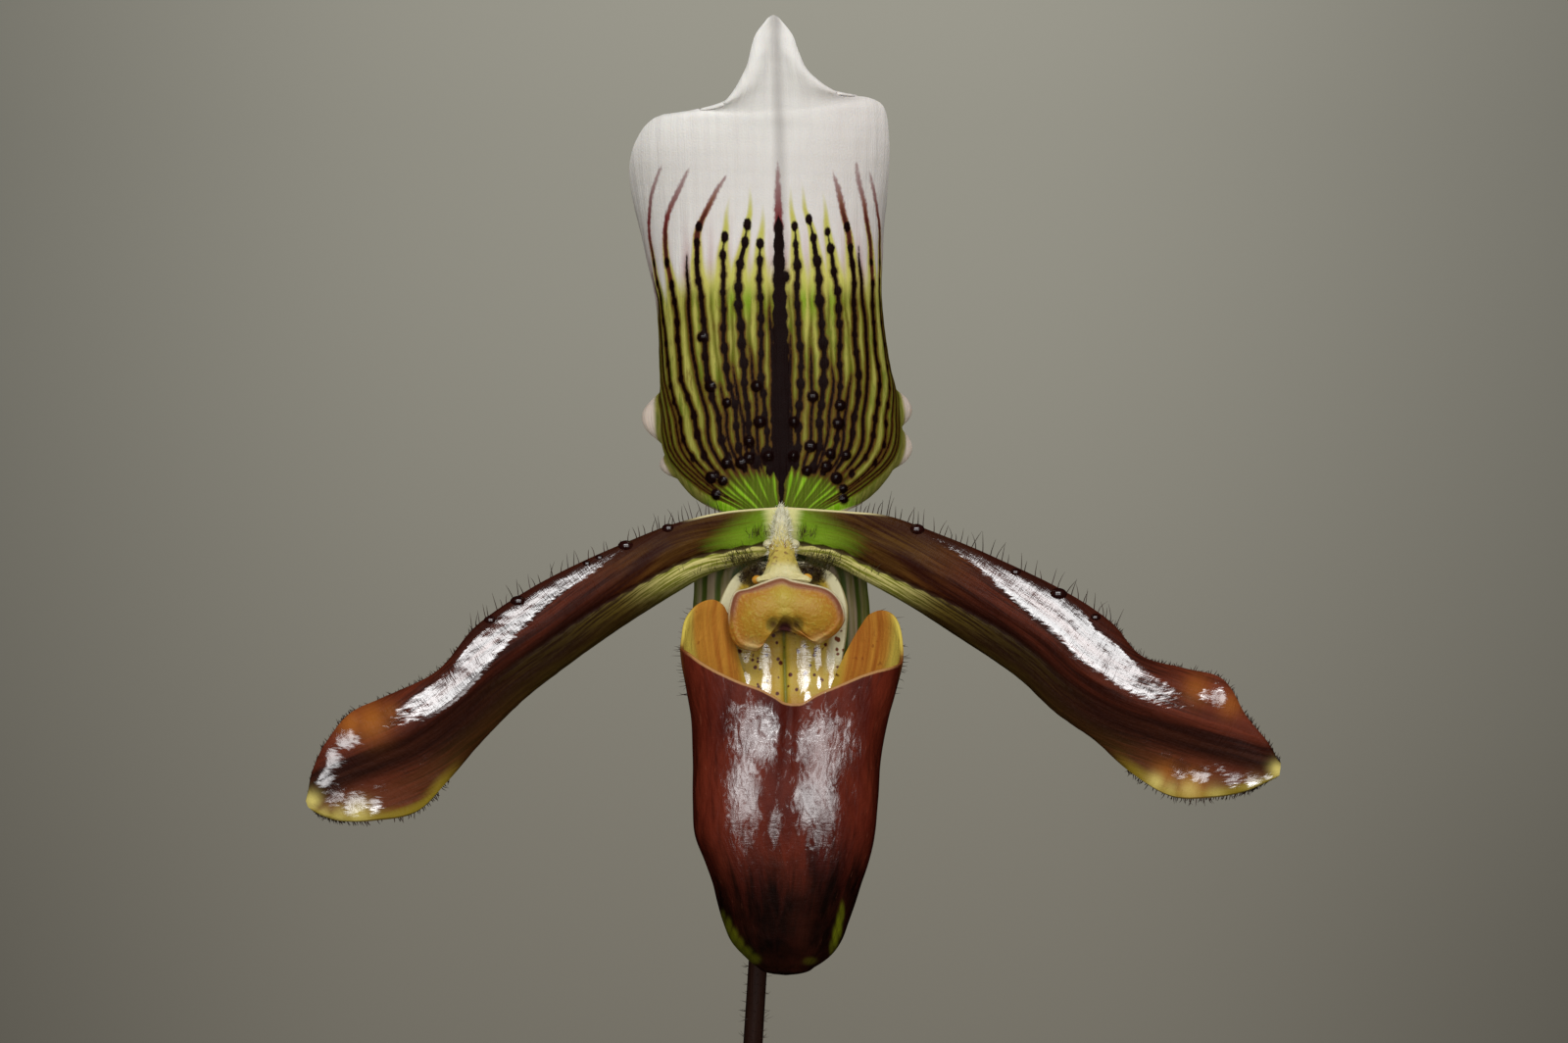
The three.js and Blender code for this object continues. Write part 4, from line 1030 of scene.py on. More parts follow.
# Veins: place across at mid height (- left), height of the top, width, 0 plain, 1 beaded or 2 wine above,
# and how far the tip leans inward.
DORSAL_VEINS = [
    (-0.05, 28.7, 0.30, 0, 0.0), (-0.105, 35.4, 0.50, 1, 0.3), (-0.16, 24.0, 0.30, 0, 0.0),
    (-0.209, 37.6, 0.65, 1, 1.0), (-0.255, 22.0, 0.30, 0, 0.0), (-0.297, 36.2, 0.50, 1, 0.6),
    (-0.35, 20.0, 0.30, 0, 0.0), (-0.41, 43.6, 0.55, 2, 2.8), (-0.483, 35.0, 0.38, 0, 0.4),
    (-0.575, 44.4, 0.52, 2, 1.6), (-0.685, 44.8, 0.38, 2, 0.2), (-0.74, 33.0, 0.40, 0, 0.0),
    (-0.80, 30.0, 0.35, 0, 0.0), (-0.87, 28.0, 0.30, 0, 0.0), (-0.93, 25.0, 0.25, 0, 0.0),
    (0.06, 25.5, 0.30, 0, 0.0), (0.117, 37.4, 0.55, 1, -0.2), (0.19, 24.0, 0.30, 0, 0.0),
    (0.258, 38.2, 0.65, 1, 0.9), (0.31, 22.0, 0.30, 0, 0.0), (0.365, 36.8, 0.50, 1, 0.5),
    (0.42, 21.0, 0.30, 0, 0.0), (0.475, 43.8, 0.52, 2, 0.8), (0.545, 35.8, 0.40, 0, 0.2),
    (0.63, 45.2, 0.42, 2, 0.4), (0.735, 44.0, 0.35, 2, 0.1), (0.79, 33.0, 0.35, 0, 0.0),
    (0.85, 30.0, 0.30, 0, 0.0), (0.91, 27.0, 0.25, 0, 0.0),
]
# Warts near the foot: distance from the midrib and height.
DORSAL_WARTS = [
    (-6.2, 9.8), (-4.6, 9.8), (-3.7, 10.4), (-6.7, 7.8), (-8.1, 8.2), (-7.6, 6.3), (-3.7, 12.3),
    (-2.5, 14.5), (-2.8, 18.6), (-6.2, 16.7), (-8.1, 18.6), (-9.0, 24.3), (-1.5, 10.6), (1.35, 10.6),
    (2.9, 8.9), (3.3, 11.7), (5.1, 9.4), (5.6, 10.9), (7.4, 10.7), (6.3, 8.1), (7.1, 6.9), (7.2, 5.8),
    (6.5, 14.3), (6.7, 16.4), (3.6, 17.4), (1.4, 14.5),
]
MIDRIB_WIDTHS = [
    (3.6, 0.05), (5.5, 0.4), (7.5, 0.7), (8.8, 1.5), (9.6, 2.7), (10.8, 2.9), (12, 2.1), (15, 2.2),
    (20, 2.0), (25, 1.65), (31, 1.3), (36, 1.05), (40, 0.75), (43, 0.35), (44.5, -0.2), (45.5, -2),
]
VEIN_SPREAD = [(3.5, 0.62), (9.7, 0.71), (15, 0.77), (19.5, 0.89), (25, 0.95), (31, 1.0), (60, 1.0)]
SEPAL_THICKNESS = 0.8


def rolled_half(roll, s):
    """How far across and back the point s of a half section lies, as its direction turns by roll * s^2."""
    steps = 24
    middle = s[..., None] * (np.arange(steps) + 0.5) / steps
    turn = roll[..., None] * middle**2
    return np.cos(turn).mean(axis=-1) * s, np.sin(turn).mean(axis=-1) * s


def petal_middle(rows, across, along):
    """A petal's middle in the flower's frame, and the length of its half sections in millimetres.

    Each row holds a left outline, the midrib and a right outline, as in the CAD: [x, z, roll in degrees]
    or [x, y, z]. A section leaves the midrib square to Y and rolls back towards its outline.
    """
    left, rib, right = (smooth_curve([row[k] for row in rows], along)[:, None] for k in range(3))
    edge = np.where(across[None, :, None] < 0, left, right)
    roll = np.radians(edge[..., 2])
    widest = np.minimum(1, np.sqrt(np.pi / 2 / np.maximum(np.abs(roll), 1e-6)))
    visible = rolled_half(roll, widest)[0]
    reach, back = rolled_half(roll, np.abs(across)[None, :] * np.ones_like(roll))
    half = np.hypot(edge[..., 0] - rib[..., 0], edge[..., 1] - rib[..., 2]) / visible
    x = rib[..., 0] + (edge[..., 0] - rib[..., 0]) * reach / visible
    z = rib[..., 2] + (edge[..., 1] - rib[..., 2]) * reach / visible
    return np.stack([x, rib[..., 1] + back * half, z], axis=-1), half


def bead_distance(x, z, centres, radii, tall=1.0):
    """The signed distance in millimetres to the nearest of many small marks, tall times as high as wide."""
    nearest = np.full(x.shape, 9.0)
    for (cx, cz), radius in zip(centres, radii):
        close = (np.abs(x - cx) < 2.5) & (np.abs(z - cz) < 2.5)
        nearest[close] = np.minimum(nearest[close], np.hypot(x[close] - cx, (z[close] - cz) / tall) - radius)
    return nearest


def dorsal_piece():
    """The grid of the sepal, the marks on it and its relief; u is measured from the midrib."""
    across, along = np.linspace(-1, 1, 235), np.linspace(0, 1, 290)
    middle, half = petal_middle(DORSAL_ROWS, across, along)
    margin = ease(np.abs(across), 0.74, 1)[None, :]
    lobe = np.zeros(half.shape)
    for side, height, span, reach in DORSAL_LOBES:
        near = np.sqrt(np.clip(1 - ((middle[..., 2] - height) / span) ** 2, 0, 1)) ** 1.3 * margin
        near = near * (side * across[None, :] > 0)
        middle[..., 0] += side * reach * near
        lobe = np.maximum(lobe, near)
    u, z = across[None, :] * half, middle[..., 2].copy()
    edge = half * (1 - np.abs(across[None, :]))
    frill = waves(z, across[None, :] * 2, 4, 9, 3.5, 12) * 0.35 * ease(np.abs(across[None, :]), 0.8, 1)
    middle[..., 1] += frill * ease(z, 45, 25)
    middle += FLOWER

    rng = np.random.default_rng(17)
    spread = np.interp(z, *np.array(VEIN_SPREAD).T)
    line = np.full(z.shape, 9.0)
    wine = np.full(z.shape, 9.0)
    vein = np.full(z.shape, 9.0)
    flame = np.zeros(z.shape)
    bead_x, bead_z, bead_r = [], [], []
    for place_across, top, width, kind, inward in DORSAL_VEINS:
        lean = math.copysign(inward, place_across) * np.clip((z - top + 8) / 8, 0, 1.1) ** 1.5
        bulge = (0.24 if place_across < 0 else 0.16) * abs(place_across) * hump(z - 38, 6)
        wander = 0.12 * np.sin(z * 0.45 + place_across * 40) + 0.05 * np.sin(z * 1.3 + place_across * 90)
        centre = place_across * spread * (1 + bulge) * half - lean
        away = np.abs(u - centre - wander)
        taper = ease(z, top, top - 4) * ease(z, 4.0, 10.0)
        slim = 0.72 if kind == 1 else 0.85
        if abs(place_across) > 0.7:
            slim = 0.8 - 0.35 * ease(z, 26, 18)
        distance = away - width / 2 * taper * slim + 0.3 * (1 - ease(taper, 0, 0.2))
        distance += 0.6 * ease(z, 9.8, 6.8) * (abs(place_across) < 0.7)
        vein = np.minimum(vein, away + 0.4 * (1 - ease(z, top + 2, top - 4)))
        if kind == 2:
            first_black = 36.5 if abs(place_across) < 0.5 else 32.5
            wine = np.minimum(wine, distance - 0.1 + 0.6 * ease(z, first_black - 1, first_black - 6))
            line = np.minimum(line, distance + 0.9 * ease(z, first_black - 3, first_black + 2.5))
        else:
            line = np.minimum(line, distance)
        if kind:
            flame = np.maximum(flame, hump(away, 0.6) * np.clip(min(top, 38.5) + 2.2 - 31, 0, 9))
            height = top - 0.4 if kind == 1 else first_black + 0.5
            column = np.abs(across - place_across).argmin()
            while height > 8.5:
                row = np.abs(z[:, column] - height).argmin()
                bead_x.append((centre + wander)[row, column])
                bead_z.append(height)
                bead_r.append(0.1 + width * rng.uniform(0.42, 0.7) * (0.9 if kind == 2 else 1.0))
                height -= rng.uniform(1.8, 2.7)
    midrib = np.abs(u) - np.interp(z, *np.array(MIDRIB_WIDTHS).T) / 2 * (1 + 0.12 * np.sin(z * 3.1))
    wine = np.minimum(wine, midrib + 0.6 * ease(z, 37, 33))
    line = np.minimum(line, midrib + 0.8 * ease(z, 36.5, 40))
    for mark_x, mark_z, mark_r in [(-1.64, 10.6, 0.75), (1.37, 10.6, 0.75), (0.75, 31.2, 0.4)]:
        bead_x.append(mark_x)
        bead_z.append(mark_z)
        bead_r.append(mark_r)
    beads = bead_distance(u, z, zip(bead_x, bead_z), bead_r, 1.5)
    warts = bead_distance(u, z, DORSAL_WARTS, rng.uniform(0.5, 0.72, len(DORSAL_WARTS)))
    black = np.minimum(np.minimum(line, beads), warts)
    groove = hump(u, 1.7) * ease(z, 40, 52)
    ribs = hump(np.minimum(vein, 2), 0.35) * ease(z, 39, 29)
    relief = (
        0.12 * np.clip(1 - np.maximum(beads + 0.5, 0) / 0.5, 0, 1)
        + 0.45 * np.sqrt(np.clip(-warts / 0.5, 0, 1))
        - 0.10 * ribs
        - 0.55 * groove
        + 0.02 * waves(u, z, 8, 5, 1.2, 9)
    )
    fields = {
        "flow_u": u,
        "flow_v": z,
        "black": np.clip(black, -2, 2),
        "wine": np.clip(wine, -2, 2),
        "vein": np.clip(vein, 0, 2),
        "green": np.clip(31 + flame - z - 0.22 * np.maximum(np.abs(u) - 8, 0) ** 1.3, -9, 9),
        "warts": np.clip(warts, -1, 1),
        "lobe": lobe,
        "edge": edge,
    }
    return middle, fields, relief


def sepal_white():
    """White, greyer to the right and with painted shade at the keel and lower down, gives way to a green
    and olive ground, with a painted highlight midway between the veins, where the green field rises;
    wine, brown and black veins, the lobes, the rim and the back are laid over that in turn."""
    finish, tree = material(
        "dorsal_sepal",
        Roughness=0.55,
        Specular_IOR_Level=0.06,
        Coat_Roughness=0.15,
        Subsurface_Weight=0.12,
        Subsurface_Radius=(0.0012, 0.0009, 0.0006),
    )
    flow = flow_of(tree)
    broad, fine = use(streaks, flow)
    u, z = field(tree, "flow_u"), field(tree, "flow_v")
    rough_edge = (noise(flow, (3.4, 1.6, 1), 4.0, 0.65) - 0.5) * 0.6
    vein = field(tree, "vein")
    white = blend(step(broad, 0.3, 0.7), (237, 235, 231), (231, 228, 225))
    white = blend(step(u, 1.0, 9.0) * 0.8, white, (222, 216, 213))
    # Painted shade: the white greys lower down, so that the top is the lightest.
    white = blend(step(z, 52.0, 43.0) * 0.5, white, (196, 190, 186))
    # Painted shade: a grey band along the keel beside the midrib.
    keel = step(abs(u - 0.3), 1.2, 0.0) * 0.6
    white = blend(keel, white, (166, 161, 158))
    blush = step(z, 40.0, 31.0) * step(vein, 1.3, 0.2)
    white = blend(blush * 0.7, white, (176, 140, 140))

    # Painted highlight: paler lines midway between the veins, where the sepal rises between them.
    ridge_highlight = blend(fine, (140, 140, 44), (198, 190, 106))
    olive = blend(fine, (72, 68, 10), (108, 104, 24))
    ground = blend(step(vein, 0.35, 0.9), olive, ridge_highlight)
    low_brown = step(z, 26.0, 14.0) * 0.3
    ground = blend(low_brown, ground, olive)
    cloudy = noise(flow, (0.9, 0.22, 1), 4.0, 0.65)
    ground = blend(step(cloudy, 0.5, 0.68) * 0.6, ground, (86, 106, 18))
    ground = blend(step(cloudy, 0.46, 0.3) * 0.6, ground, (92, 66, 22))
    fresh = step(z, 25.0, 29.0) * step(abs(u), 9.0, 5.0) * step(broad, 0.42, 0.55)
    ground = blend(fresh * 0.8, ground, (118, 150, 24))
    tips = step(z, 28.0, 31.5) * 0.85
    ground = blend(tips, ground, (196, 190, 100))
    base = step(z + abs(u) * 0.5, 11.4, 8.6)
    bright = blend(step(fine, 0.4, 0.6), (116, 168, 14), (146, 184, 48))
    ground = blend(base, ground, bright)

    skin = blend(step(field(tree, "green") + rough_edge, -2.6, 1.4), white, ground)
    wine = field(tree, "wine") + rough_edge
    fading = step(wine, 0.24, -0.14) * ranged(z, 38.0, 45.5, 1.0, 0.45)
    skin = blend(fading, skin, (112, 44, 46))
    brown = step(vein, 0.42, 0.1) * step(field(tree, "green"), -1.0, 2.0)
    skin = blend(brown * 0.75, skin, (52, 30, 8))
    black = field(tree, "black") + rough_edge * 0.6
    fringed = step(black, 0.36, 0.1) * step(z, 36.0, 31.0) * 0.55
    skin = blend(fringed, skin, (84, 40, 20))
    skin = blend(step(black, 0.14, -0.06), skin, (18, 3, 2))
    lobe = step(field(tree, "lobe"), 0.1, 0.3)
    skin = blend(lobe, skin, (236, 218, 204))
    rim = step(field(tree, "edge"), 1.2, 0.4) * step(z, 32.0, 20.0)
    skin = blend(rim * 0.8, skin, (206, 176, 160))
    back = blend(step(z, 38.0, 24.0), white, (150, 156, 84))
    back = blend(step(vein, 0.5, 0.1) * 0.5, back, (96, 60, 44))
    skin = blend(field(tree, "side"), skin, back)
    wet = step(field(tree, "warts"), 0.05, -0.1) * 0.3
    height = fine + noise(flow, 5.0, 3.0) * 0.6
    return dressed(finish, Base_Color=skin, Coat_Weight=wet, Normal=bump(height, 0.00012, 0.6))


thin_piece(
    "dorsal_sepal", sepal_white(), "dorsal_sepal", "dorsal_sepal", SEPAL_THICKNESS, *dorsal_piece(), taper=3
)

# Synsepal: the two lower sepals grown into one small sheet behind the pouch, grey-green with dark
# green stripes.

SYNSEPAL_ROWS = [
    [[-4.0, 0.2, 0], [0, 3.2, -1.5], [4.0, 0.2, 0]],
    [[-9.2, -1.2, 50], [0, 3.1, -4.0], [8.8, -1.0, 50]],
    [[-10.0, -5.6, 60], [0, 3.3, -8], [9.9, -5.4, 60]],
    [[-10.1, -10.5, 60], [0, 3.4, -12.5], [10.1, -10.5, 60]],
    [[-9.6, -17, 55], [0, 3.2, -18], [9.8, -17, 55]],
    [[-8.4, -24, 50], [0, 2.6, -24.5], [8.6, -24, 50]],
    [[-6.0, -30.5, 45], [0, 1.8, -31], [6.2, -30.5, 45]],
    [[-2.8, -35.2, 40], [0, 0.8, -35.8], [3.0, -35.2, 40]],
    [[-0.6, -37.6, 20], [0, 0.4, -37.9], [0.7, -37.6, 20]],
]
SYNSEPAL_STRIPES = [0.0, 0.16, 0.33, 0.50, 0.66, 0.82]


def synsepal_finish():
    """Olive and tan streaks, greener towards the edge, with dark green stripes."""
    finish, tree = material("synsepal", Roughness=0.45, Specular_IOR_Level=0.35)
    broad, fine = use(streaks, flow_of(tree))
    ground = blend(step(broad, 0.35, 0.65), (104, 98, 40), (146, 128, 104))
    edge = step(field(tree, "edge"), 2.0, 0.4)
    ground = blend(edge * 0.7, ground, (96, 112, 30))
    stripe = step(field(tree, "stripe") + fine * 0.3, 0.3, -0.1)
    ground = blend(stripe, ground, (62, 76, 12))
    return dressed(finish, Base_Color=ground, Normal=bump(fine, 0.00015, 0.6))


def synsepal_piece():
    """The sheet's grid, with stripes at even places to both sides of its middle, pressed in a little."""
    across, along = np.linspace(-1, 1, 91), np.linspace(0, 1, 90)
    middle, half = petal_middle(SYNSEPAL_ROWS, across, along)
    stripe = np.full(half.shape, 9.0)
    for place_across in SYNSEPAL_STRIPES:
        stripe = np.minimum(stripe, np.abs(np.abs(across[None, :]) - place_across) * half - 0.42)
    fields = {
        "flow_u": across[None, :] * half,
        "flow_v": -middle[..., 2],
        "stripe": np.clip(stripe, -1, 2),
        "edge": half * (1 - np.abs(across[None, :])),
    }
    return middle + FLOWER, fields, -0.12 * np.exp(-((np.clip(stripe + 0.3, 0, 2) / 0.3) ** 2))


thin_piece("synsepal", synsepal_finish(), "synsepal", "synsepal", SEPAL_THICKNESS, *synsepal_piece())

# Petals: long glossy spoons, mahogany with dark streaks above the midrib and yellow-green below it;
# dark shining warts and long hairs stand on the upper margin, short hairs fringe the broad ends.

PETAL_THICKNESS = 0.8
# The petal's grid: rows along it, and the columns of its midrib and of its warts.
PETAL_STATIONS, RIB, WART_COLUMN = 280, 60, 116
LONG_HAIRS, SHORT_HAIRS = 46, 330
PETAL_LEFT_ROWS = [
    [[-0.1, -0.2, 20], [-0.1, 1.2, 0.9], [-0.1, 4.75, 10]],
    [[-4.6, -1.4, 100], [-5.2, 0.3, 0.0], [-6.4, 4.2, 25]],
    [[-8.6, -2.7, 140], [-9.4, -0.1, -0.8], [-11.2, 3.1, 50]],
    [[-12.0, -4.6, 140], [-13.1, -0.8, -2.6], [-15.4, 1.6, 65]],
    [[-18.5, -8.7, 140], [-19.6, -2.2, -7.1], [-23.0, -1.7, 65]],
    [[-23.9, -12.5, 130], [-24.9, -3.4, -11.2], [-29.2, -5.0, 65]],
    [[-29.5, -16.9, 110], [-30.8, -4.8, -15.3], [-34.7, -8.9, 62]],
    [[-33.9, -21.5, 70], [-35.7, -6.0, -19.4], [-39.0, -13.9, 60]],
    [[-37.9, -26.4, -10], [-40.5, -7.0, -23.0], [-45.1, -16.9, 60]],
    [[-41.3, -29.7, -35], [-44.5, -7.6, -24.9], [-48.7, -18.6, 60]],
    [[-46.1, -30.6, -40], [-48.4, -8.0, -26.5], [-51.3, -21.7, 50]],
    [[-49.6, -30.7, -30], [-51.2, -8.2, -27.8], [-52.9, -24.9, 40]],
    [[-51.9, -30.1, -15], [-52.8, -8.2, -28.8], [-53.4, -27.2, 20]],
    [[-53.1, -29.4, 0], [-53.5, -8.2, -29.0], [-53.6, -28.4, 0]],
]
PETAL_RIGHT_ROWS = [
    [[0.3, -0.1, 20], [0.3, 1.2, 0.9], [0.3, 4.75, 10]],
    [[5.6, -1.4, 100], [6.2, 0.3, -0.1], [7.8, 4.2, 25]],
    [[9.0, -3.0, 140], [9.7, -0.1, -1.7], [12.5, 3.6, 50]],
    [[14.5, -6.0, 140], [15.1, -1.0, -4.7], [18.7, 1.3, 65]],
    [[19.5, -9.2, 140], [20.4, -2.2, -7.9], [24.4, -1.1, 65]],
    [[26.8, -14.1, 130], [27.6, -3.8, -12.9], [32.2, -4.9, 65]],
    [[31.2, -18.2, 110], [32.3, -5.0, -17.0], [37.4, -8.4, 62]],
    [[35.4, -21.4, 70], [36.7, -6.0, -19.6], [40.8, -12.2, 60]],
    [[39.6, -25.3, -10], [41.8, -7.0, -21.5], [45.7, -13.6, 60]],
    [[44.0, -27.9, -35], [46.3, -7.6, -23.0], [49.9, -14.8, 60]],
    [[48.4, -28.0, -40], [50.2, -8.0, -24.1], [52.5, -18.9, 50]],
    [[52.1, -27.4, -30], [53.2, -8.2, -24.9], [54.8, -21.7, 40]],
    [[54.7, -26.4, -15], [55.2, -8.2, -25.1], [55.9, -23.6, 20]],
    [[56.2, -25.6, 0], [56.3, -8.2, -24.9], [56.4, -24.2, 0]],
]
# How far the upper half faces up, in degrees, by the place along the petal and at these places across it.
FACE_PLACES = [0, 0.3, 0.5, 0.65, 0.8, 0.92, 1]
PETAL_FACES = [
    (0.00, [0, 0, 0, 0, 0, 0, 5]),
    (0.10, [-14, -14, -14, -12, -8, -4, 10]),
    (0.22, [-18, -18, -18, -18, -18, -12, 5]),
    (0.30, [-18, -18, -18, -18, -18, -18, -18]),
    (0.60, [-18, -18, -18, -18, -18, -18, -18]),
    (0.68, [-16, -12, -6, 2, 8, 12, 16]),
    (0.76, [-12, -6, 2, 7, 11, 14, 18]),
    (0.82, [-8, -2, 3, 5, 8, 10, 14]),
    (0.90, [-8, 0, 4, 5, 6, 8, 10]),
    (1.00, [-8, 0, 3, 3, 3, 5, 8]),
]
# The upper half turns to face up in an even shoulder, whose polished band catches the light: where the band
# starts and ends across, by the place along.
SHOULDER_TURN, SHOULDER_DROP = 19, 40
BAND_LEFT = [
    (0.00, 1.20, 1.40), (0.24, 1.00, 1.10), (0.27, 0.90, 1.00), (0.30, 0.80, 0.95), (0.38, 0.70, 0.90),
    (0.42, 0.60, 0.90), (0.46, 0.50, 0.85), (0.50, 0.45, 0.85), (0.58, 0.45, 0.80), (0.62, 0.50, 0.70),
    (0.66, 0.50, 0.60), (1.00, 0.50, 0.60),
]
BAND_RIGHT = [
    (0.00, 1.20, 1.40), (0.22, 0.95, 1.10), (0.30, 0.80, 0.90), (0.36, 0.60, 0.90), (0.41, 0.55, 0.90),
    (0.45, 0.50, 0.80), (0.50, 0.55, 0.85), (0.55, 0.55, 0.85), (0.59, 0.50, 0.75), (0.63, 0.45, 0.70),
    (0.67, 0.50, 0.60), (1.00, 0.50, 0.60),
]
# Shining patches on the broad ends: x, z, radius, strength.
GLOSS_LEFT = [
    (-49.2, -21.5, 1.2, 1.0), (-48.0, -21.6, 0.8, 0.6), (-51.0, -23.8, 1.5, 0.85),
    (-51.6, -25.8, 1.3, 0.9), (-50.4, -27.8, 1.4, 0.8), (-48.2, -28.8, 1.5, 0.95),
    (-46.0, -29.0, 1.1, 0.7), (-45.2, -26.8, 0.9, 0.5), (-42.6, -25.4, 0.8, 0.5),
    (-40.6, -24.0, 0.8, 0.5),
]
GLOSS_RIGHT = [
    (49.4, -16.8, 1.0, 1.0), (48.0, -16.7, 0.8, 0.7), (43.6, -23.2, 0.9, 0.7), (45.2, -24.7, 1.3, 1.0),
    (47.4, -25.4, 1.2, 1.0), (51.0, -26.0, 1.1, 0.7), (53.4, -26.3, 1.1, 1.0), (55.0, -25.6, 0.7, 0.8),
    (41.4, -21.4, 0.6, 0.6), (49.6, -24.8, 0.8, 0.5),
]
WARTS_LEFT = [(0.192, 1.0), (0.26, 1.2), (0.29, 0.75), (0.304, 0.75), (0.398, 1.2), (0.444, 1.0)]
WARTS_RIGHT = [(0.196, 1.2), (0.336, 0.9), (0.383, 1.3), (0.44, 0.9)]
# Painted patches on the broad ends: x, z, radius, strength.
AMBER_LEFT = [(-46.4, -19.6, 2.0, 0.9), (-48.6, -19.8, 1.5, 0.9), (-44.4, -18.6, 1.2, 0.5)]
AMBER_RIGHT = [
    (47.0, -16.0, 1.5, 0.6), (50.6, -17.6, 1.3, 0.6), (43.6, -25.6, 1.6, 0.7), (46.4, -26.8, 1.8, 0.8),
]
CREAM_LEFT = [
    (-53.0, -28.4, 1.0, 1.0), (-47.8, -29.9, 1.4, 0.7), (-49.8, -30.2, 1.2, 0.6),
    (-51.6, -29.8, 0.9, 0.5),
]
CREAM_RIGHT = [
    (56.0, -24.9, 0.9, 1.0), (42.4, -26.4, 1.0, 0.8), (44.0, -27.2, 1.1, 0.45), (46.2, -27.3, 1.2, 0.6),
    (49.0, -27.9, 1.2, 0.4), (53.6, -27.0, 1.2, 0.35),
]


def patches(x, z, spots):
    """The strongest of several soft round patches at each point."""
    total = np.zeros(x.shape)
    for cx, cz, radius, strength in spots:
        total = np.maximum(total, strength * np.exp(-((np.hypot(x - cx, z - cz) / radius) ** 2)))
    return total


def petal_piece(rows, band, amber, cream, gloss, seed):
    """A petal's grid, marks and relief: u runs from the midrib towards the upper margin.

    The lower half rolls back or curls forward about its outline. The upper half is laid straight from the
    midrib to its outline, and its depth adds up the tangents of the angles by which it faces up.
    """
    across, along = np.linspace(-1, 1, 2 * RIB + 1), np.linspace(0, 1, PETAL_STATIONS)
    middle, half = petal_middle(rows, across, along)
    from_rib = middle - middle[:, RIB : RIB + 1]
    tilt = math.tan(math.radians(16)) * ease(along, 0.02, 0.15) * (1 - 0.7 * ease(along, 0.68, 0.8))
    middle[:, :RIB, 1] += (tilt[:, None] * np.hypot(from_rib[..., 0], from_rib[..., 2]))[:, :RIB]
    by_along = np.array([[np.interp(s, FACE_PLACES, row) for s in across[RIB:]] for _, row in PETAL_FACES])
    stations = [station for station, _ in PETAL_FACES]
    face = np.stack([smooth_table(stations, column, along) for column in by_along.T], axis=1)
    here = (ease(along, 0.08, 0.24) * (1 - ease(along, 0.62, 0.74)))[:, None]
    up = ease(across[None, RIB:], 0.34, 0.46) * here
    over = ease(across[None, RIB:], 0.92, 1.02) * here
    face = face + (SHOULDER_TURN - face) * up + (SHOULDER_DROP - SHOULDER_TURN) * over
    rise = np.tan(np.radians((face[:, 1:] + face[:, :-1]) / 2)) / RIB
    width = np.hypot(from_rib[:, -1, 0], from_rib[:, -1, 2])[:, None]
    share = across[RIB:][None, :, None]
    upper = middle[:, RIB : RIB + 1] + (middle[:, -1:] - middle[:, RIB : RIB + 1]) * share
    climb = np.concatenate([0 * width, np.cumsum(rise, axis=1)], axis=1)
    upper[..., 1] = middle[:, RIB : RIB + 1, 1] + width * climb
    middle[:, RIB:] = upper
    half = half.copy()
    half[:, RIB:] = width
    u = across[None, :] * half
    rib = middle[:, RIB]
    strides = np.linalg.norm(np.diff(rib, axis=0), axis=1)
    v = np.concatenate([[0], np.cumsum(strides)])[:, None] * np.ones_like(u)
    line = u - 1.7 * ease(v, 8, 30)
    x, z = middle[..., 0], middle[..., 2]
    relief = (
        0.012 * waves(u + 0.35 * v, (v - 0.35 * u) * 1.4, 10, 5, 1.1, seed) * ease(v, 10, 30)
        + 0.01 * waves(u * 3, v * 0.25, 6, 7, 3, seed + 1)
        - 0.18 * hump(line, 0.35) * ease(v, 2, 6) * (1 - 0.85 * ease(v, 24, 40))
    )
    frill = 0.2 * waves(v, u * 0.2, 5, 11, 4, seed + 2) * ease(np.abs(across)[None, :], 0.55, 1)
    middle[..., 1] += frill * ease(v, 20, 45)
    shine = np.zeros_like(u)
    first, last = (smooth_table(*np.array(band)[:, [0, k]].T, along)[:, None] for k in (1, 2))
    shine[:, RIB:] = ease(across[None, RIB:], first - 0.15, first + 0.05)
    shine[:, RIB:] *= 1 - ease(across[None, RIB:], last - 0.03, last + 0.06)
    fading = (1 - 0.75 * ease(along, 0.52, 0.64)) * (1 - ease(along, 0.62, 0.7))
    shine *= (ease(along, 0.2, 0.24) * fading)[:, None]
    fields = {
        "flow_u": u,
        "flow_v": v,
        "line": np.clip(line, -9, 9),
        "upper_edge": half * (1 - across[None, :]),
        "lower_edge": half * (1 + across[None, :]),
        "amber": patches(x, z, amber),
        "cream": patches(x, z, cream),
        "gloss": np.maximum(shine, patches(x, z, gloss)),
        "band": shine,
    }
    return middle + FLOWER, fields, relief


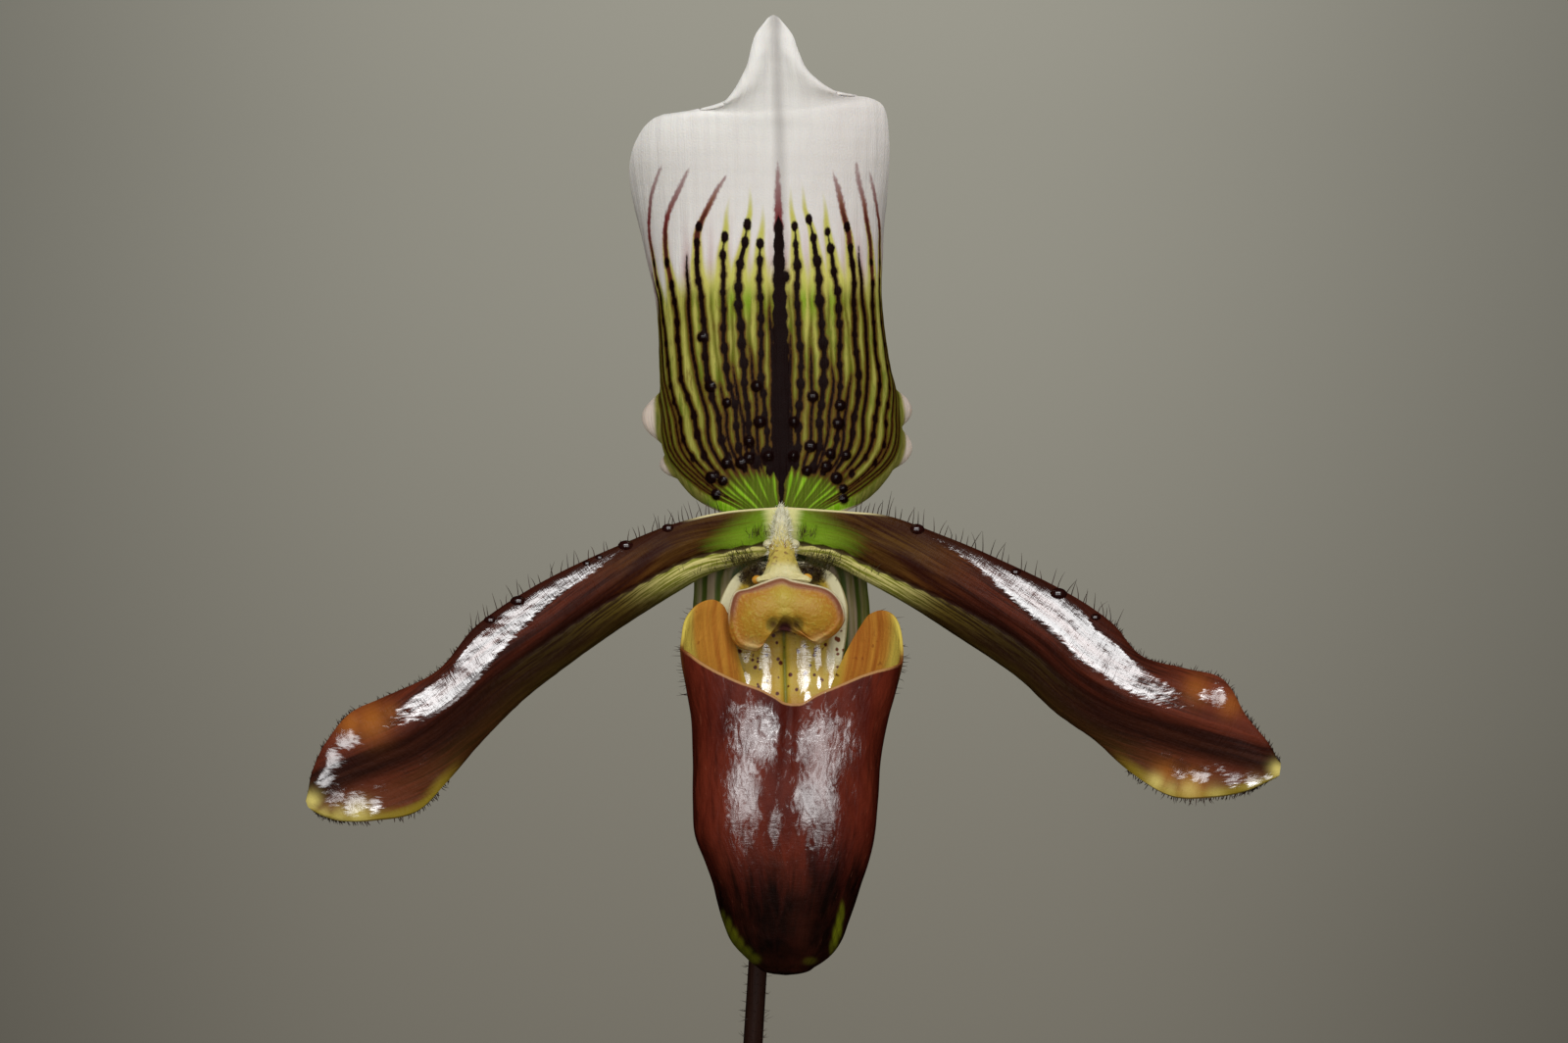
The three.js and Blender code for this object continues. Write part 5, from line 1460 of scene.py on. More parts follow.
def petal_mahogany():
    """The upper half runs from pale green at the foot to streaked mahogany, the lower from cream through
    olive to brown; painted shade lies beside the midrib, in its groove and on the rolled-under lower half,
    and the broad end's redder sides are partly painted sheen; midrib, edges and patches are laid over both,
    and the gloss is a mask on the coat."""
    finish, tree = material(
        "petal_mahogany", Roughness=0.55, Specular_IOR_Level=0.06, Coat_Roughness=0.14, Coat_IOR=2.4
    )
    flow = flow_of(tree)
    broad, fine = use(streaks, flow)
    v, line, upper_edge, side = (field(tree, name) for name in ("flow_v", "line", "upper_edge", "side"))
    streak = step(broad + fine * 0.45, 0.56, 0.94)
    upper = blend(streak, (38, 11, 4), (94, 39, 21))
    olive_streak = blend(streak, (44, 15, 5), (88, 60, 18))
    upper = blend(step(v, 25.0, 11.0), upper, olive_streak)
    young = blend(fine, (92, 138, 12), (126, 146, 40))
    reach = v + fine * 4.0 + step(upper_edge, 3.5, 0.0) * 4.5
    upper = blend(step(reach, 12.0, 6.0), upper, young)
    upper = blend(step(v + fine, 2.6, 1.3), upper, (206, 202, 140))
    dark_top = step(upper_edge, 2.2, 0.8) * step(v, 6.0, 12.0) * step(v, 46.0, 36.0)
    upper = blend(dark_top * 0.8, upper, (46, 16, 8))
    # Painted shadow beside the midrib, on the upper half.
    shadow = step(line, 3.4, 0.4) * step(v, 10.0, 24.0)
    upper = blend(shadow * 0.6, upper, (46, 14, 6))

    pale = blend(step(fine, 0.42, 0.58), (128, 130, 44), (206, 196, 124))
    olive = blend(step(fine, 0.4, 0.6), (48, 34, 9), (96, 80, 26))
    brown = blend(streak, (54, 20, 9), (106, 50, 26))
    lower = blend(step(v, 11.0, 21.0), pale, olive)
    lower = blend(step(v, 30.0, 42.0), lower, brown)
    # Painted shade on the rolled-under lower half: dull olive near the foot, dark brown farther out.
    under = step(line, -1.2, -2.4) * 0.75
    shade = blend(step(v, 9.0, 18.0), (104, 104, 36), (50, 34, 10))
    lower = blend(under, lower, shade)
    skin = blend(step(line, -0.25, 0.25), lower, upper)

    thread = abs(line) + maths("PINGPONG", v, 1.15) * 0.18
    thread = step(thread, 0.42, 0.22) * step(v, 42.0, 24.0)
    skin = blend(thread * 0.9, skin, (38, 10, 6))
    # Painted shade in the groove along the midrib, from 14 mm out along the petal and full from 30 mm.
    trough_shade = abs(line + broad * 2.0)
    trough_shade = step(trough_shade, 3.0, 0.8) * step(v, 14.0, 30.0)
    skin = blend(trough_shade * 0.82, skin, (28, 9, 4))
    # Redder sides of the broad end, away from the midrib: partly the petal's own mahogany-red, partly painted
    # sheen.
    ragged = v + fine * 12.0
    red_end_and_sheen = step(ragged, 50.0, 62.0) * step(abs(line), 1.0, 2.6)
    skin = blend(red_end_and_sheen * 0.35, skin, (128, 58, 38))
    edge_in = field(tree, "lower_edge") + broad * 1.4
    rim = step(edge_in, 2.3, 0.9) * step(v, 45.0, 50.0)
    skin = blend(rim * 0.85, skin, (128, 110, 28))
    skin = blend(field(tree, "amber") * 0.85, skin, (158, 92, 30))
    skin = blend(field(tree, "cream") * 0.9, skin, (206, 190, 108))
    thread_edge = step(upper_edge, 0.28, 0.1) * step(v, 10.0, 7.0)
    skin = blend(thread_edge, skin, (212, 200, 150))
    back = blend(streak, (92, 82, 40), (128, 92, 60))
    skin = blend(side, skin, back)
    brush = noise(stretched(flow, 1, 1, 1, (0, 0, 0.5)), (3.4, 0.7, 1), 3.0, 0.6, 0.4)
    broken = field(tree, "gloss") + (brush - 0.5) * 1.35
    fullest = 0.94 - field(tree, "band") * 0.4
    gloss = step(broken, 0.3, 0.66) * (1.0 - side) * fullest + 0.004
    height = use(crepe, flow)[0] + fine * 0.5
    return dressed(
        finish,
        Base_Color=skin,
        Coat_Weight=gloss,
        Normal=bump(height, 0.0003, 0.5),
        Coat_Normal=bump(height, 0.0003, 0.11),
    )


def balls(centres, radii, rows=14, sides=20):
    """Closed round beads, each a stack of rings from pole to pole, stretched by its own three radii."""
    polar = np.linspace(0.06, np.pi - 0.06, rows)[:, None]
    turn = around(sides)[None, :]
    x, y, z = np.sin(polar) * np.cos(turn), np.sin(polar) * np.sin(turn), np.cos(polar) + 0 * turn
    sphere = np.stack([x, y, z], axis=-1)
    points, faces = [], []
    for k, (centre, radius) in enumerate(zip(centres, radii)):
        points.append((sphere * radius + centre).reshape(-1, 3))
        faces += [[corner + k * rows * sides for corner in face] for face in capped(rows, sides)]
    return np.concatenate(points), faces


mahogany = petal_mahogany()
wart_black = two_tone(
    "black_wart", (16, 5, 4), (44, 14, 10), 900, 2.0, Roughness=0.18, Specular_IOR_Level=0.7
)
for side, rows, band, warts, amber, cream, gloss, seed in (
    ("left", PETAL_LEFT_ROWS, BAND_LEFT, WARTS_LEFT, AMBER_LEFT, CREAM_LEFT, GLOSS_LEFT, 40),
    ("right", PETAL_RIGHT_ROWS, BAND_RIGHT, WARTS_RIGHT, AMBER_RIGHT, CREAM_RIGHT, GLOSS_RIGHT, 50),
):
    name = f"petal_{side}"
    surface = petal_piece(rows, band, amber, cream, gloss, seed)
    petal_front, petal_normal = thin_piece(name, mahogany, name, "petal", PETAL_THICKNESS, *surface)

    rooted = petal_front - petal_normal * 0.3
    wart_rows = [int(along * (PETAL_STATIONS - 1)) for along, _ in warts]
    wart_shapes = [np.array([1.1, 0.85, 0.8]) * radius * 0.72 for _, radius in warts]
    wart_balls = balls([rooted[row, WART_COLUMN] for row in wart_rows], wart_shapes)
    build(f"{name}_warts", *wart_balls, wart_black, name, "petal")

    rng = np.random.default_rng(seed + 5)
    long_rows = (np.linspace(24, 132, LONG_HAIRS) + rng.uniform(-0.8, 0.8, LONG_HAIRS)).astype(int)
    short_rows = rng.integers(128, 276, SHORT_HAIRS)
    short_columns = np.where(rng.uniform(0, 1, SHORT_HAIRS) < 0.5, 0, 2 * RIB)
    short_columns = np.where(short_rows < 170, 2 * RIB, short_columns)
    hair_rows = np.concatenate([long_rows, short_rows])
    hair_columns = np.concatenate([np.full(LONG_HAIRS, 2 * RIB), short_columns])
    roots = rooted[hair_rows, hair_columns]
    ways = unit(roots - petal_front[hair_rows, np.abs(hair_columns - 6)])
    ways[:LONG_HAIRS] = ways[:LONG_HAIRS] * 0.6 + np.array([0, -0.35, 0.9])
    ways += rng.normal(0, 0.12, ways.shape)
    lengths = np.concatenate([rng.uniform(1.0, 2.1, LONG_HAIRS), rng.uniform(0.4, 0.85, SHORT_HAIRS)])
    hairs(f"{name}_hairs", dark_hair, name, "petal", roots, ways, lengths, 0.07, (0, 0, 0.1), seed + 6)

# Lip: the slipper. A glossy maroon pouch with a soft groove down its front, crepe-wrinkled and
# veined; its rim turns up at the sides in two amber ears, and a spotted claw rises from it behind.

LIP_WALL = 0.9
# The pouch's grid: columns round it, and rows up its outside to the rim.
POUCH_COLUMNS, POUCH_RIM_ROW = 300, 191
# Each row: height, half width, half depth, and the section's middle in x and y.
POUCH_SECTIONS = [
    [-47.4, 0.0, 0.0, 0.5, -18.2], [-47.2, 1.6, 1.5, 0.5, -18.2], [-46.4, 3.3, 3.1, 0.5, -18.1],
    [-45.3, 4.7, 4.4, 0.6, -18.0], [-43.7, 6.0, 5.7, 0.5, -17.9], [-41.5, 6.9, 6.7, 0.5, -17.7],
    [-39.3, 7.6, 7.5, 0.6, -17.5], [-37.1, 8.2, 8.2, 0.7, -17.3], [-34.9, 9.0, 8.9, 0.7, -17.0],
    [-31.6, 10.1, 9.7, 0.5, -16.5], [-28.2, 10.4, 10.1, 0.5, -16.1], [-23.3, 10.5, 10.0, 0.6, -15.6],
    [-18.7, 11.0, 9.6, 0.9, -15.1], [-15.7, 11.7, 9.3, 1.1, -14.8], [-12.5, 12.4, 9.0, 1.2, -14.5],
    [-9.0, 12.6, 8.8, 1.2, -14.3], [-6.0, 12.1, 8.4, 1.1, -14.1], [-4.0, 11.4, 8.0, 1.0, -14.0],
]
# The rim's height by angle from the front, on the left and on the right; the right ear leans out.
RIM_LEFT = [
    (0, -17.1), (4, -16.9), (9, -16.3), (18, -15.4), (30, -14.6), (45, -13.4), (56, -12.5), (68, -11.6),
    (80, -11.2), (92, -10.9), (99, -9.9), (105, -8.2), (111, -7.2), (117, -6.5), (124, -6.0),
    (131, -5.8), (137, -6.1), (142, -6.9), (145, -8.3), (150, -12), (153, -14.4), (157, -18.5),
    (165, -19.7), (180, -19.9),
]
RIM_RIGHT = [
    (0, -17.1), (6.5, -17.0), (10, -16.6), (14, -16.1), (27, -15.0), (40, -14.0), (50, -13.5),
    (65, -13.1), (80, -12.7), (90, -12.1), (97, -11.0), (103, -9.3), (109, -7.9), (116, -7.2),
    (124, -7.0), (130, -7.2), (135, -7.6), (141, -8.8), (147, -10.6), (152, -12.6), (156, -15.0),
    (160, -18.0), (166, -19.7), (180, -19.9),
]


# Green streaks beside the toe: x, z, radius across, radius up, strength.
TOE_GREEN = [
    (6.7, -40.2, 0.3, 1.3, 0.8), (6.4, -41.6, 0.35, 1.5, 1.0), (6.0, -43.0, 0.35, 1.4, 0.9),
    (5.6, -44.2, 0.3, 1.0, 0.5), (-6.5, -41.0, 0.35, 1.0, 0.5), (-5.9, -42.0, 0.45, 1.2, 0.7),
    (-5.3, -43.0, 0.55, 1.1, 0.7), (-4.7, -43.9, 0.6, 1.0, 0.6), (-4.0, -44.7, 0.8, 0.8, 0.5),
    (-3.2, -45.4, 0.9, 0.7, 0.45), (3.2, -45.6, 0.8, 0.5, 0.25),
]
# Shining patches to both sides of the groove: x, z, radius across, radius up, strength.
POUCH_GLOSS = [
    (-2.9, -20.6, 3.3, 3.6, 1.0), (-4.2, -27.2, 2.1, 5.9, 1.0), (-0.7, -30.6, 0.8, 2.6, 0.85),
    (-4.9, -17.6, 1.2, 0.7, 0.7), (4.9, -21.7, 3.8, 3.8, 1.0), (4.0, -27.4, 2.6, 5.4, 1.0),
    (8.6, -22.0, 0.35, 2.2, 0.5), (8.0, -27.0, 0.35, 1.6, 0.5),
]


def plateaus(x, z, spots):
    """The strongest of several flat-topped oval patches at each point."""
    total = np.zeros(x.shape)
    for cx, cz, across, up, strength in spots:
        reach = np.hypot((x - cx) / across, (z - cz) / up)
        total = np.maximum(total, strength * np.exp(-(reach**4)))
    return total


def pouch_skin(turn, height, inset):
    """The pouch's skin: turn is the angle in degrees from the front, height 0 at the toe and 1 at the rim.

    Sections are read from the table; their front is flattened a little, grooved in the middle below the
    rim and swollen to both sides of the groove.
    """
    table = np.array(POUCH_SECTIONS)
    rims = (RIM_LEFT, RIM_RIGHT)
    left_rim, right_rim = (smooth_table(*np.array(heights).T, np.abs(turn)) for heights in rims)
    rim = np.where(turn > 0, left_rim, right_rim)
    toe = table[0, 0]
    z = toe + (rim - toe) * height**1.5
    half_width, half_depth, x, y = (smooth_table(table[:, 0], table[:, k], z) for k in (1, 2, 3, 4))
    angle = np.radians(turn)
    front = np.cos(angle)
    square = 2.2 + 2.2 * ease(z, -42, -34)
    flat = np.where(front > 0, (1 - np.abs(np.sin(angle)) ** square + 1e-9) ** (1 / square), front)
    off = -half_width * np.sin(angle)
    groove = 0.5 * hump(off, 0.9) * ease(z, -30, -21)
    roof = 0.05 * np.minimum(np.abs(off), 7.5) * ease(z, -40, -30)
    depth = half_depth - inset - (roof + groove) * (front > 0)
    return np.stack(
        [
            x + np.maximum(half_width - inset, 0) / np.maximum(half_width, 1e-6) * off,
            y - np.maximum(depth, 0) * flat,
            z + inset * (1 - ease(height, 0, 0.3)),
        ],
        axis=-1,
    )


def pouch_piece():
    """Rings from the toe up the outside, over a rounded rim and down the inside to the toe again."""
    turn = (np.linspace(0, 360, POUCH_COLUMNS, endpoint=False) + 180) % 360 - 180
    outer = np.concatenate([[0.006], np.linspace(0.03, 1, POUCH_RIM_ROW - 1)])
    over = np.array([0.15, 0.5, 0.85])
    inner = np.linspace(1, 0.05, 46)
    height = np.concatenate([outer, np.ones(len(over)), inner])[:, None]
    thin = 1 - 0.6 * ease(inner, 0.86, 1.0)
    inset = np.concatenate([np.zeros(len(outer)), over * 0.4 * LIP_WALL, LIP_WALL * thin])[:, None]
    points = pouch_skin(turn[None, :] * np.ones_like(height), height * np.ones_like(turn)[None, :], inset)
    lift = np.concatenate([np.zeros(len(outer)), [0.07, 0.1, 0.07], np.zeros(len(inner))])[:, None]
    points[..., 2] += lift
    outside = np.concatenate([np.ones(len(outer)), np.zeros(len(over) + len(inner))])[:, None]
    z = points[..., 2]
    arc = np.radians(turn)[None, :] * 11.0
    circle = np.stack([np.sin(np.radians(turn)) * 11, -np.cos(np.radians(turn)) * 11], axis=-1)
    wrinkle = waves(circle[None, :, 0] * 1.4, z * 0.55 + circle[None, :, 1], 12, 6, 1.0, 61)
    broad = waves(circle[None, :, 0] * 0.8, z * 0.4 + circle[None, :, 1], 5, 14, 6, 62)
    fade = ease(height, 0.03, 0.2) * ease(height, 1.0, 0.9) * outside
    spoke = np.stack([circle[:, 0], circle[:, 1], 0 * turn], axis=-1) / 11
    points += spoke[None] * ((0.014 * wrinkle + 0.1 * broad) * fade)[..., None]
    rim_z = points[len(outer) - 1, :, 2][None, :]
    fields = {
        "flow_u": arc * np.ones_like(z),
        "flow_v": z,
        "inside": (1 - outside) * np.ones_like(z),
        "below_rim": rim_z - z,
        "turn": np.abs(turn)[None, :] * np.ones_like(z),
        "toe_green": plateaus(points[..., 0], z, TOE_GREEN),
        "gloss": plateaus(points[..., 0], z, POUCH_GLOSS) * outside * (np.abs(turn) < 80),
    }
    return points + FLOWER, fields


def pouch_maroon():
    """Red above and near black below, mixed along uneven strands, with painted glints on the flanks; amber
    inside the rim, browned at the ears' feet partly by painted shade, and spots in the throat; the gloss is a
    mask on the coat."""
    finish, tree = material(
        "pouch_maroon", Roughness=0.5, Specular_IOR_Level=0.06, Coat_Roughness=0.26, Coat_IOR=2.4
    )
    flow = flow_of(tree)
    broad, fine = use(streaks, flow)
    z, turn, below = (field(tree, name) for name in ("flow_v", "turn", "below_rim"))
    cloud = noise(place(tree), (220, 220, 90), 4.0, 0.6)
    red = blend(step(cloud, 0.3, 0.7), (66, 17, 9), (98, 36, 21))
    dark = blend(step(cloud, 0.35, 0.75), (13, 4, 2), (46, 16, 7))
    strands = noise(flow, (0.55, 0.1, 1), 4.0, 0.65, 0.3)
    falling = z + (strands - 0.5) * 16.0
    skin = blend(step(falling, -29.0, -40.0), red, dark)
    flank = step(turn, 22.0, 52.0)
    skin = blend(step(strands, 0.5, 0.72) * flank * 0.75, skin, (44, 12, 6))
    # Painted glints: pale pinkish flecks on the flanks.
    glints = step(noise(flow, (1.6, 0.4, 1), 3.0, 0.6), 0.62, 0.74)
    skin = blend(glints * flank * 0.3, skin, (150, 84, 62))
    net = cell_walls(stretched(place(tree), 420, 420, 130), 0.12, 0.02)
    skin = blend(net * 0.12, skin, (50, 14, 8))
    skin = blend(field(tree, "toe_green") * 0.8, skin, (112, 118, 14))

    amber = blend(step(broad, 0.3, 0.7), (156, 92, 34), (186, 130, 50))
    freckle = step(noise(place(tree), 900, 2.0), 0.66, 0.72)
    amber = blend(freckle * 0.45, amber, (110, 52, 26))
    outer_side = turn + broad * 12.0
    yellow_rim = step(outer_side, 126.0, 112.0) * step(turn, 84.0, 94.0)
    amber = blend(yellow_rim * 0.8, amber, (200, 186, 82))
    # Brown at the ears' feet inside the rim: partly the amber's own change to brown, partly painted shade in
    # the fold.
    fold = step(below, 2.6, 0.2) * step(turn, 60.0, 74.0) * step(turn, 102.0, 86.0)
    amber = blend(fold * 0.85, amber, (112, 52, 30))
    ear = step(z + fine * 2.0, -14.5, -11.5) * step(turn, 74.0, 84.0)
    outside = blend(ear * 0.8, skin, (140, 84, 36))
    spots = step(noise(place(tree), 620, 1.0), 0.62, 0.68)
    throat = blend(spots, (176, 146, 54), (74, 34, 12))
    deep = maths("MAXIMUM", step(z, -17.0, -21.0), step(turn, 146.0, 154.0))
    inside = blend(deep, amber, throat)
    skin = blend(field(tree, "inside"), outside, inside)
    lip_line = step(below + broad * 0.12, 0.3, 0.14) * step(turn, 80.0, 52.0)
    skin = blend(lip_line * 0.8, skin, (176, 132, 84))
    mottle = noise(flow, (1.0, 0.5, 1), 5.0, 0.62, 1.8)
    worn = field(tree, "gloss") + (mottle - 0.5) * 2.8
    clouded = ranged(noise(flow, (0.26, 0.2, 1), 2.0), 0.35, 0.6, 0.65, 1.1)
    gloss = step(worn, 0.2, 1.2) * clouded + 0.012
    folds = noise(flow, (0.7, 0.35, 1), 3.0, 0.5, 1.0)
    height = use(crepe, flow)[0] * 0.3 + folds
    return dressed(
        finish,
        Base_Color=skin,
        Coat_Weight=gloss,
        Normal=bump(height, 0.0006, 0.3),
        Coat_Normal=bump(height, 0.0006, 0.22),
    )


pouch_points, pouch_fields = pouch_piece()
pouch_faces = capped(*pouch_points.shape[:2])
build("lip_pouch", pouch_points, pouch_faces, pouch_maroon(), "lip_pouch", "lip", pouch_fields, crease=50)

EAR_HAIRS = 90
rng = np.random.default_rng(71)
ear_columns = rng.choice(np.arange(75, 107), EAR_HAIRS)
ear_columns = np.where(rng.uniform(0, 1, EAR_HAIRS) < 0.5, ear_columns, POUCH_COLUMNS - ear_columns)
ear_rows = rng.integers(POUCH_RIM_ROW - 22, POUCH_RIM_ROW + 1, EAR_HAIRS)
ear_roots = pouch_points[ear_rows, ear_columns]
ear_ways = ear_roots - (FLOWER + (1, -14, -10))
ear_ways[:, 2] *= 0.3
ear_lengths = rng.uniform(0.5, 1.1, EAR_HAIRS)
hairs(
    "lip_ear_hairs", dark_hair, "lip_pouch", "lip", ear_roots, ear_ways, ear_lengths, 0.04, (0, -0.1, 0.1), 72
)

# Shining patches of the claw: x, z, radius across, radius up, strength.
CLAW_GLOSS = [
    (-1.85, -12.7, 0.75, 1.9, 1.0), (-1.65, -15.6, 0.65, 1.9, 1.0), (2.65, -12.8, 0.95, 2.3, 1.0),
    (2.5, -14.9, 0.8, 1.6, 1.0), (3.0, -17.2, 0.4, 0.9, 0.8), (-4.1, -11.7, 0.65, 1.3, 1.0),
    (-4.0, -14.8, 0.55, 0.8, 1.0), (5.7, -12.2, 0.55, 2.4, 1.0), (5.8, -15.2, 0.4, 1.4, 0.9),
    (4.2, -12.2, 0.5, 1.7, 0.9), (4.3, -15.3, 0.3, 0.9, 0.8), (0.0, -11.4, 0.35, 0.6, 0.7),
]
CLAW_ROWS = [
    [[-2.6, -1.6, -10], [0, 1.3, -1.5], [3.0, -1.6, -10]],
    [[-5.4, -3.2, -45], [0.1, 0.7, -3.8], [6.0, -3.0, -45]],
    [[-7.0, -6.4, -55], [0.2, -3.2, -6.8], [7.3, -6.0, -55]],
    [[-7.0, -10, -40], [0.3, -3.9, -10.4], [7.3, -9.6, -40]],
    [[-6.2, -14, -18], [0.4, -4.7, -14.2], [6.7, -14, -18]],
    [[-6.0, -17.5, -12], [0.5, -5.9, -17.5], [6.5, -17.5, -12]],
    [[-5.8, -21, -12], [0.5, -7.1, -21], [6.4, -21, -12]],
]


def claw_piece():
    """The claw's grid: a scoop with two low ridges beside a central furrow, spotted all over."""
    across, along = np.linspace(-1, 1, 91), np.linspace(0, 1, 110)
    middle, half = petal_middle(CLAW_ROWS, across, along)
    u, z = across[None, :] * half, middle[..., 2]
    ridges = 0.22 * hump(np.abs(u) - 2.4, 1.0) * ease(z, -4, -9)
    furrow = -0.3 * hump(u, 0.35) * ease(z, -8, -11)
    rng = np.random.default_rng(81)
    count = 190
    spot_u, spot_z = rng.uniform(-7.5, 7.5, count), rng.uniform(-21, -6, count)
    spots = bead_distance(u, z, zip(spot_u, spot_z), rng.uniform(0.13, 0.26, count))
    hollow = hump(np.abs(u) - 3.5, 1.9) * hump(z + 2.9, 2.3)
    edge = half * (1 - np.abs(across[None, :]))
    fields = {
        "flow_u": u,
        "flow_v": z,
        "spots": np.clip(spots, -1, 1),
        "furrow": np.abs(u),
        "hollow": hollow,
        "edge": edge,
        "gloss": plateaus(middle[..., 0], z, CLAW_GLOSS),
    }
    return middle + FLOWER, fields, ridges + furrow - 0.4 * hollow


def claw_yellow():
    """Yellow, with green lines in the furrows, brown spots, a spotted cream rim, a band of painted shade
    where it lies behind the shield's notch and brown fur in the hollow; the gloss is a mask on the coat."""
    finish, tree = material(
        "lip_claw", Roughness=0.4, Specular_IOR_Level=0.25, Coat_Roughness=0.24, Coat_IOR=2.4
    )
    flow = flow_of(tree)
    broad, fine = use(streaks, flow)
    z = field(tree, "flow_v")
    skin = blend(broad, (176, 128, 32), (190, 176, 72))
    skin = blend(step(z, -15.5, -19.0), skin, (176, 122, 40))
    line = step(field(tree, "furrow"), 0.4, 0.05) * step(z, -7.0, -10.0)
    skin = blend(line * 0.8, skin, (96, 104, 18))
    skin = blend(step(field(tree, "spots"), 0.06, -0.06), skin, (84, 26, 12))
    rim = step(field(tree, "edge"), 2.2, 1.3) * step(z, -14.5, -12.0)
    cream = blend(step(field(tree, "spots"), 0.08, -0.02), (214, 206, 168), (110, 56, 30))
    skin = blend(rim, skin, cream)
    grain = noise(place(tree), 1800, 2.0)
    fur = step(field(tree, "hollow") + (grain - 0.5) * 0.7, 0.2, 0.85)
    # Painted shade: dark red-brown across the furrow, 7 to 10 mm below the flower, behind the shield's notch.
    shade = step(abs(z + 8.6), 1.5, 0.5) * step(field(tree, "furrow"), 2.4, 1.0)
    skin = blend(shade, skin, (66, 22, 14))
    skin = blend(fur, skin, blend(grain, (50, 32, 12), (88, 72, 32)))
    bold = noise(flow, (1.6, 0.5, 1), 4.0, 0.6, 0.5)
    shine = step(field(tree, "gloss") + (bold - 0.5) * 1.5, 0.3, 0.7) * (1.0 - fur)
    back = blend(fine, (120, 100, 44), (150, 124, 60))
    skin = blend(field(tree, "side"), skin, back)
    height = use(crepe, flow)[0]
    return dressed(
        finish,
        Base_Color=skin,
        Coat_Weight=shine,
        Normal=bump(height, 0.0003, 0.3),
        Coat_Normal=bump(height, 0.0003, 0.15),
    )


claw_middle, claw_fields, claw_relief = claw_piece()
claw_front, claw_normal = thin_piece(
    "lip_claw", claw_yellow(), "lip_pouch", "lip", LIP_WALL, claw_middle, claw_fields, claw_relief
)

HOLLOW_HAIRS = 420
rng = np.random.default_rng(83)
candidates = np.argwhere(claw_fields["hollow"] > 0.35)
picked = candidates[rng.integers(0, len(candidates), HOLLOW_HAIRS)]
hollow_roots = claw_front[picked[:, 0], picked[:, 1]]
hollow_ways = claw_normal[picked[:, 0], picked[:, 1]] + rng.normal(0, 0.5, (HOLLOW_HAIRS, 3))
hollow_lengths = rng.uniform(0.4, 1.0, HOLLOW_HAIRS)
hairs(
    "lip_claw_hairs", dark_hair, "lip_pouch", "lip",
    hollow_roots, hollow_ways, hollow_lengths, 0.035, (0, 0, -0.2), 84,
)

# Column: the cream stalk in the flower's middle, downy on top and widening to a hood over the shield,
# with an orange anther to each side and the stigma hidden below.

COLUMN_PATH = [
    (0, 1.6, 2.7), (0, -0.8, 2.3), (0, -3.0, 0.8), (0.1, -5.0, -1.1), (0.2, -6.8, -3.0),
    (0.3, -7.6, -3.7),
]
# Half width across and half depth by the place along the path.
COLUMN_SIZES = [
    (0, 0.9, 2.2), (0.2, 0.95, 1.9), (0.4, 1.0, 1.4), (0.5, 1.5, 1.35), (0.58, 1.5, 1.3),
    (0.7, 1.8, 1.25), (0.82, 2.4, 1.1), (0.92, 3.1, 0.85), (1, 3.0, 0.4),
]


COLUMN_SIDES = 72


def column_piece():
    """Ovals carried along the path, half as wide and deep as the table says, with a fuzzy skin."""
    rows = 110
    along = np.linspace(0, 1, rows)
    centre = smooth_curve(COLUMN_PATH, along)
    tangent = unit(np.gradient(centre, axis=0))
    side = np.array([1.0, 0, 0]) * np.ones((rows, 1))
    other = np.cross(tangent, side)
    table = np.array(COLUMN_SIZES)
    wide, deep = (smooth_table(table[:, 0], table[:, k], along)[:, None] for k in (1, 2))
    angle = around(COLUMN_SIDES)[None, :]
    a, b = wide * np.cos(angle), deep * np.sin(angle)
    offset = a[..., None] * side[:, None] + b[..., None] * other[:, None]
    points, spoke = centre[:, None] + offset, unit(offset)
    fuzz = 0.05 * waves(a * 2 + along[:, None] * 12, b * 2, 6, 2.4, 0.6, 91)
    points += spoke * fuzz[..., None]
    fields = {"flow_u": a, "flow_v": along[:, None] * 13 * np.ones_like(a)}
    return points + FLOWER, fields, spoke


def column_cream():
    """Cream in fine clouds, with a speckled yellow belt between 5.6 mm and 10.2 mm along it."""
    finish, tree = material(
        "column_cream",
        Roughness=0.5,
        Specular_IOR_Level=0.35,
        Subsurface_Weight=0.15,
        Subsurface_Radius=(0.001, 0.0007, 0.0004),
    )
    v = field(tree, "flow_v")
    specks = step(noise(place(tree), 1500, 1.0), 0.58, 0.66)
    skin = blend(noise(place(tree), 700, 2.0), (196, 182, 112), (214, 206, 160))
    yellow = step(v, 5.6, 6.8) * step(v, 10.2, 8.8)
    patch = blend(specks, (182, 160, 62), (124, 84, 20))
    skin = blend(yellow * 0.85, skin, patch)
    skin = blend(step(v, 5.0, 3.0), skin, (220, 214, 184))
    return dressed(finish, Base_Color=skin, Normal=bump(noise(place(tree), 2600, 2.0), 0.0002, 0.7))


column_points, column_fields, column_spokes = column_piece()
cream = column_cream()
build("column", column_points, capped(*column_points.shape[:2]), cream, "column", "column", column_fields)
anther_points, anther_faces = balls(
    FLOWER + np.array([(-2.75, -5.6, -3.5), (2.9, -5.6, -3.3)]), [np.array([0.6, 0.6, 0.5])] * 2, 24, 32
)
orange = two_tone(
    "orange_anther", (190, 120, 28), (214, 164, 60), 1200, 2.0, Roughness=0.4, Specular_IOR_Level=0.4
)
build("anthers", anther_points, anther_faces, orange, "column", "column")
